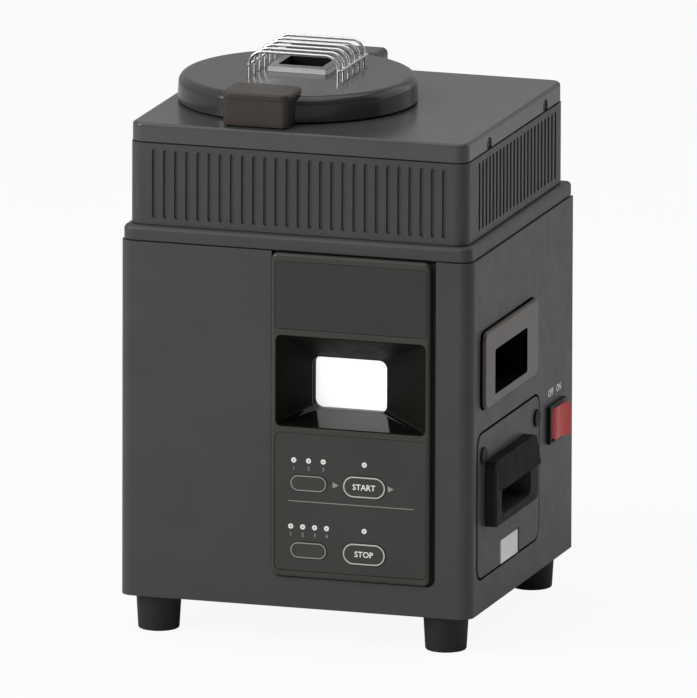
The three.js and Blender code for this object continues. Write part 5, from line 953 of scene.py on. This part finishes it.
def make_plug(y):
    rings = [(circle(y, PLUG_Z, PLUG_STEM), HALF - 2), (circle(y, PLUG_Z, PLUG_STEM), HALF),
             (circle(y, PLUG_Z, PLUG_RADIUS), HALF + STEP)]
    for i in range(5):
        t = QUARTER * i / 4
        rings.append((circle(y, PLUG_Z, PLUG_RADIUS - PLUG_ROUND * (1 - cos(t))),
                      HALF + PLUG_PROUD + PLUG_ROUND * sin(t)))
    return loft("x", rings)


door = piece("drawer_door", make_door(), "drawer", ["drawer_front"], "body_paint", bevel=0)
# the door's edges and the faces behind its front are painted in shade
second_look(door, "painted_shade", lambda face: abs(face.normal.x) < SLANT
            or face.center.x / MM - SHIFT.x < HALF - 1)
grip = piece("drawer_grip", make_pull(), "drawer", ["drawer_pull"], "pull_plastic", bevel=0.7,
             segments=4)
# the pull's faces towards the front take the lighter black plastic, its hood's upper faces a
# darker copy and its pocket a lighter copy of its plastic: painted light and painted shade
second_look(grip, "black_plastic", lambda face: face.normal.y < -0.7)
second_look(grip, "pull_painted_shade", lambda face: face.normal.z > 0.1 and face.normal.x > 0.3)
second_look(grip, "pull_pocket_painted_light", in_pull_pocket)
label = prism("x", round_rect(LABEL_FRONT, LABEL_BACK, DOOR_BOTTOM, LABEL_TOP, 0.8),
              HALF - LABEL_SHEET, HALF)
piece("drawer_label_plate", label, "drawer", ["drawer_plate"], "silver_plate", bevel=0.25)
for node, y in PLUGS:
    disc = piece(node + "_disc", make_plug(y), "drawer", [node], "plug_plastic", bevel=0)
    # the plug's sides are painted in shade
    second_look(disc, "painted_shade", lambda face: face.normal.x < 0.5)


# Chaff case

chaff_plate = shrinking(-93.6, 27.4, 164.6, 217.6, 6, 10)
chaff_box = shrinking(-88.6, 22.4, 169.6, 212.6, 5)
chaff_cup = shrinking(-73.2, 3, 169.8, 203.8, 3.6)
CHAFF_SHEET, CHAFF_ROUND, CHAFF_DEPTH, CHAFF_WALL = 3.1, 2, 56, 1.5
CUP_DEPTH, CUP_WALL, CHAFF_BACK = 20, 1.6, HALF + SEAM
CHAFF_MOUTH_YS, CHAFF_MOUTH_ZS = (-87.1, 20.9), (207.6, 214)


def make_chaff_case():
    back = CHAFF_BACK
    plate = slab("x", chaff_plate, back, back + CHAFF_SHEET, 0, CHAFF_ROUND, steps=6)
    box = prism("x", chaff_box(0), back - CHAFF_DEPTH, back + 1.25)
    room = (back - CHAFF_DEPTH + CHAFF_WALL, back - CUP_WALL)
    hollow = prism("x", chaff_box(CHAFF_WALL), *room)
    open_top = block(*room, *CHAFF_MOUTH_YS, *CHAFF_MOUTH_ZS)
    cup = prism("x", chaff_cup(0), back - CUP_DEPTH - CUP_WALL, back)
    pocket = prism("x", chaff_cup(CUP_WALL), back - CUP_DEPTH, back + 6.5)
    return cut(join(plate, cut(box, hollow, open_top), cup), pocket)


chaff_drawer = piece("chaff_drawer", make_chaff_case(), "chaff_case", ["chaff_case"],
                     "smoked_plastic")
plate_plane = (SHIFT.x + HALF + 1.5) * MM
# the case's faces behind its plate are painted in shade
second_look(chaff_drawer, "chaff_painted_shade", lambda face: face.center.x < plate_plane)


# Pot's rim, smooth over the solid's sides

LIP_TOP, LIP_RADIUS, LIP_OUTSIDE, LIP_INSIDE = COVER_TOP + 1.32, 69.2, 55.6, 54.6


def make_pot_lip():
    def round_bar(radius, low, high=LIP_TOP):
        return rod("z", radius, low, high, LID_X, LID_Y, steps=128)

    rim = join(round_bar(LIP_RADIUS, COVER_TOP + 0.2), round_bar(LIP_OUTSIDE, COVER_TOP - 58))
    return cut(rim, round_bar(LIP_INSIDE, COVER_TOP - 70, COVER_TOP + 9))


piece("pot_lip", make_pot_lip(), "housing", (), "bright_steel", bevel=0.25)


# Lid, drawn about the middle of its lower face

LID_R, LID_H, LID_EDGE, LID_SHEET, LID_TAPER, LID_TOE = 81.1, 17.6, 6, 1.8, 0.5, 0.8
HINGE_Y, HINGE_Z, HINGE_PIN, HINGE_ROOM, HINGE_X, HINGE_HALF = 90, 10.5, 2.3, 6.2, 22, 3.6
VENT_Y, VENT_TOP = 19, LID_H + 4
# The vent's frame as (width, depth, corner, height), and the openings in it and the lid
VENT_RINGS = (
    (43, 42.4, 2.4, LID_H), (42.6, 42, 2.2, LID_H + 0.8), (42.3, 41.7, 2, VENT_TOP - 0.7),
    (41.8, 41.2, 1.8, VENT_TOP - 0.2), (40.9, 40.3, 1.5, VENT_TOP),
)
VENT_WELL, VENT_HOLE, VENT_TUNNEL, VENT_LOW = (32.9, 30), (30.9, 28), (33.5, 30.6), -0.4
VENT_BAR_YS, VENT_BAR_X, VENT_BAR_HALF = (-4.67, 4.67), 15.95, 1.7
WIRE, RAIL, WIRE_HALF, WIRE_TOP, WIRE_BEND = 1.05, 1, 31.3, LID_H + 14.7, 9
WIRE_Y, WIRE_COUNT, WIRE_PITCH, RAIL_HALF, RAIL_Z = 19.5, 6, 11.6, 30.5, LID_H + 4.8
hinge_outline = shrinking(-34, 34, 70, 96.5, 4, 6)
handle_outline = shrinking(-22.8, 22.8, -96.8, -64, 4)
handle_cap = shrinking(-23.8, 23.8, -97.5, -62, 6)


def lid_profile(grow=0.0):
    return (
        [(0, -grow), (LID_R - LID_TOE + grow, -grow), (LID_R + grow, LID_TOE),
         (LID_R - LID_TAPER + grow, LID_H - LID_EDGE)]
        + arc(LID_R - LID_TAPER - LID_EDGE, LID_H - LID_EDGE, LID_EDGE + grow, 0, QUARTER, 10)[1:]
        + [(0, LID_H + grow)]
    )


def vent_outline(width, depth, corner=1.5):
    return round_rect(-width / 2, width / 2, VENT_Y - depth / 2, VENT_Y + depth / 2, corner, 6)


def make_lid():
    inner, round_in = LID_R - LID_TAPER - LID_SHEET, LID_EDGE - LID_SHEET
    hollow = lathe(
        [(0, -OVERRUN), (inner, -OVERRUN), (inner, LID_H - LID_EDGE)]
        + arc(inner - round_in, LID_H - LID_EDGE, round_in, 0, QUARTER, 6)[1:]
        + [(0, LID_H - LID_SHEET)], steps=144,
    )
    hinge = slab("z", hinge_outline, 4.5, 18.3, 0, 4, steps=6)
    rooms = [rod("x", HINGE_PIN, -31, 31, HINGE_Y, HINGE_Z, steps=32)]
    for side in (-1, 1):
        ends = (side * HINGE_X - HINGE_HALF, side * HINGE_X + HINGE_HALF)
        rooms.append(join(
            rod("x", HINGE_ROOM, *ends, HINGE_Y, HINGE_Z, steps=40),
            block(*ends, HINGE_Y - HINGE_ROOM, HINGE_Y + HINGE_ROOM, 0, HINGE_Z),
            block(*ends, HINGE_Y, 101, 0, HINGE_Z + HINGE_ROOM),
        ))
    tunnel = prism("z", vent_outline(*VENT_TUNNEL), -OVERRUN, LID_H + OVERRUN)
    return cut(join(lathe(lid_profile(), steps=144), cut(hinge, *rooms)), hollow, tunnel)


def make_handle():
    body = slab("z", handle_outline, -0.2, 20, 0.5, 0, steps=6)
    cap = slab("z", handle_cap, 18.2, 22.6, 0.8, 1.6, steps=6)
    return cut(join(body, cap), lathe(lid_profile(0.3), steps=144))


def make_chimney():
    rings = [(vent_outline(*outline), at) for *outline, at in VENT_RINGS]
    well = prism("z", vent_outline(*VENT_WELL), VENT_LOW, VENT_TOP - 0.7)
    hole = prism("z", vent_outline(*VENT_HOLE, 0.8), VENT_LOW - OVERRUN, VENT_TOP + OVERRUN)
    bars = [
        block(-VENT_BAR_X, VENT_BAR_X, VENT_Y + y - VENT_BAR_HALF, VENT_Y + y + VENT_BAR_HALF,
              VENT_TOP - 6, VENT_TOP - 5)
        for y in VENT_BAR_YS
    ]
    return join(cut(join(loft("z", rings), well), hole), *bars)


def make_guard():
    """Hoops across the vent, on a rail at each side."""
    wires = []
    bend_x, bend_z = WIRE_HALF - WIRE_BEND, WIRE_TOP - WIRE_BEND
    for i in range(WIRE_COUNT):
        y = WIRE_Y - WIRE_PITCH * (WIRE_COUNT - 1) / 2 + WIRE_PITCH * i
        path = [(WIRE_HALF, LID_H), (WIRE_HALF, bend_z)]
        path += arc(bend_x, bend_z, WIRE_BEND, 0, QUARTER, 10)[1:]
        path += [(0, WIRE_TOP)]
        path += arc(-bend_x, bend_z, WIRE_BEND, QUARTER, 2 * QUARTER, 10)
        path += [(-WIRE_HALF, LID_H)]
        wires.append(sweep([(x, y, z) for x, z in path], WIRE))
    for side in (-1, 1):
        x = side * (WIRE_HALF + WIRE + 0.6)
        path = [(x, WIRE_Y - RAIL_HALF, RAIL_Z), (x, WIRE_Y + RAIL_HALF, RAIL_Z)]
        wires.append(sweep(path, RAIL))
    return merged(wires)


LID_PLACE = (LID_X, LID_Y, LID_Z)
VENT_CENTRE = (SHIFT + Vector(LID_PLACE) + Vector((0, VENT_Y, VENT_TOP))) * MM


def in_vent_well(face):
    """Whether a face looks into the vent's well, below its top rim."""
    place = face.center - VENT_CENTRE
    within = abs(place.x) < 16.2 * MM and abs(place.y) < 14.8 * MM
    return within and place.z < -0.4 * MM and face.normal.z < 0.5


piece("lid_dome", make_lid(), "lid", ["lid_shell"], "lid_enamel", place=LID_PLACE)
piece("lid_grip", make_handle(), "lid", ["lid_handle"], "handle_brown", place=LID_PLACE)
vent = piece("vent_frame", make_chimney(), "lid", ["chimney_frame"], "vent_steel", bevel=0.25,
             place=LID_PLACE)
# the vent frame's upright faces take a bright finish: a painted highlight
second_look(vent, "vent_painted_highlight", lambda face: face.normal.z < SLANT)
# the vent's well is painted in shade
second_look(vent, "painted_shade", in_vent_well)
piece("guard_wires", make_guard(), "lid", ["wire_guard"], "chrome_wire", bevel=0, place=LID_PLACE)


# The CAD nodes that keep their own shape

NODE_LOOKS = (
    ("body_paint", "rear_panel"),
    ("zinc_sheet", "base_plate pot_jacket inner_frame bean_chute blower_housing heater_duct"),
    ("bright_steel", "hinge_pin lid_liner roasting_pot agitator temperature_sensor"),
    ("bright_steel", "discharge_gate bean_tray"),
    # the bays behind the doors are painted in shade
    ("painted_shade", "drawer_bay chaff_bay"),
    ("black_plastic", "cord_gland hinge_bracket blower_impeller"),
    ("motor_steel", "agitator_motor gate_solenoid blower_motor"),
    ("nylon", "drive_gear motor_pinion"),
    ("board_green", "power_board control_board lamp_board"),
    ("silicone", "lid_gasket"),
    ("ceramic", "heater_element"),
)
for look, names in NODE_LOOKS:
    for name in names.split():
        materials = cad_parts[name].data.materials
        materials.clear()
        materials.append(LOOKS[look])


# Floor, world, lamps and camera

def camera_share(nodes):
    return nodes.new("ShaderNodeLightPath").outputs["Is Camera Ray"]


FLOOR_REACH, FLOOR_SHADE, FLOOR_WHITE = 40000, 0.82, 0.92
STUDIO_LIGHT, STUDIO_SHADE, SHADE_AZIMUTH = 0.4, 0.07, 68
SHADE_START, SHADE_END = 0.1, 0.85
LAMP_TARGET = Vector((0, 0, 0.2))


def make_floor():
    """A matt floor for the light that the camera sees as nearly white."""
    r = FLOOR_REACH
    obj = raw([(-r, -r, 0), (r, -r, 0), (r, r, 0), (-r, r, 0)], [(0, 1, 2, 3)])
    obj.name = "floor"
    obj.data.transform(Matrix.Scale(MM, 4))
    material = bpy.data.materials.new("floor_white")
    material.use_nodes = True
    nodes, links = material.node_tree.nodes, material.node_tree.links
    nodes.clear()
    matt = put(nodes.new("ShaderNodeBsdfDiffuse"), {"Color": (*[FLOOR_SHADE] * 3, 1)})
    bright = put(nodes.new("ShaderNodeEmission"), {"Strength": 1.0})
    share = nodes.new("ShaderNodeMath")
    share.operation = "MULTIPLY"
    share.inputs[1].default_value = FLOOR_WHITE
    links.new(camera_share(nodes), share.inputs[0])
    mix = nodes.new("ShaderNodeMixShader")
    links.new(share.outputs[0], mix.inputs["Fac"])
    links.new(matt.outputs[0], mix.inputs[1])
    links.new(bright.outputs[0], mix.inputs[2])
    out = nodes.new("ShaderNodeOutputMaterial")
    links.new(mix.outputs[0], out.inputs["Surface"])
    obj.data.materials.append(material)


def make_world():
    """A white studio for the camera, and for the light a dimmer one, dimmest towards one side."""
    world = bpy.data.worlds.new("studio")
    bpy.context.scene.world = world
    world.use_nodes = True
    nodes, links = world.node_tree.nodes, world.node_tree.links
    back = nodes["Background"]
    turn = radians(SHADE_AZIMUTH)
    across = nodes.new("ShaderNodeVectorMath")
    across.operation = "DOT_PRODUCT"
    links.new(nodes.new("ShaderNodeTexCoord").outputs["Generated"], across.inputs[0])
    across.inputs[1].default_value = (sin(turn), -cos(turn), 0)
    fall = nodes.new("ShaderNodeMapRange")
    fall.interpolation_type = "SMOOTHSTEP"
    links.new(across.outputs["Value"], fall.inputs["Value"])
    put(fall, {"From Min": SHADE_START, "From Max": SHADE_END,
               "To Min": STUDIO_LIGHT, "To Max": STUDIO_SHADE})
    mix = nodes.new("ShaderNodeMix")
    mix.data_type = "FLOAT"
    links.new(camera_share(nodes), mix.inputs["Factor"])
    links.new(fall.outputs["Result"], mix.inputs["A"])
    put(mix, {"B": 1.0})
    links.new(mix.outputs["Result"], back.inputs["Strength"])
    put(back, {"Color": (1, 1, 1, 1)})


def direction(azimuth, elevation):
    """A unit vector: azimuth 0 points to the front, 90 degrees to the right."""
    flat = cos(elevation)
    return Vector((sin(azimuth) * flat, -cos(azimuth) * flat, sin(elevation)))


def lamp(name, azimuth, elevation, distance, size, power):
    data = bpy.data.lights.new(name, "AREA")
    data.shape, data.size, data.size_y, data.energy = "RECTANGLE", size[0], size[1], power
    obj = linked(data, name)
    back = direction(radians(azimuth), radians(elevation))
    obj.location = LAMP_TARGET + back * distance
    obj.rotation_mode = "QUATERNION"
    obj.rotation_quaternion = (-back).to_track_quat("-Z", "Y")


make_floor()
make_world()
lamp("key", -46, 30, 2.4, (1.4, 1.4), 33.5)
lamp("fill", 129, 22, 2.4, (2.4, 2.0), 9.5)
lamp("top", 0, 88, 2.0, (2.2, 2.2), 15)

# The camera's place, from the photograph's own perspective

AZIMUTH, ELEVATION, ROLL = radians(17.563), radians(12.643), radians(0.176)
DISTANCE, FOCAL_PIXELS, IMAGE_HEIGHT = 18211.14, 26976.18, 698
TARGET_ACROSS, TARGET_HEIGHT = 1.278, 178.374

back = direction(AZIMUTH, ELEVATION)
level = Vector((cos(AZIMUTH), sin(AZIMUTH), 0))
upward = back.cross(level)
right = level * cos(ROLL) + upward * sin(ROLL)
up = upward * cos(ROLL) - level * sin(ROLL)
target = level * TARGET_ACROSS + Vector((0, 0, TARGET_HEIGHT)) + SHIFT
camera_data = bpy.data.cameras.new("camera")
camera_data.sensor_width = 36
camera_data.lens = FOCAL_PIXELS * camera_data.sensor_width / IMAGE_HEIGHT
camera_data.clip_start, camera_data.clip_end = 1, 100
camera = linked(camera_data, "camera")
rotation = Matrix((right, up, back)).transposed()
camera.matrix_world = Matrix.Translation((target + back * DISTANCE) * MM) @ rotation.to_4x4()
bpy.context.scene.camera = camera
bpy.context.scene.view_settings.view_transform = "Standard"
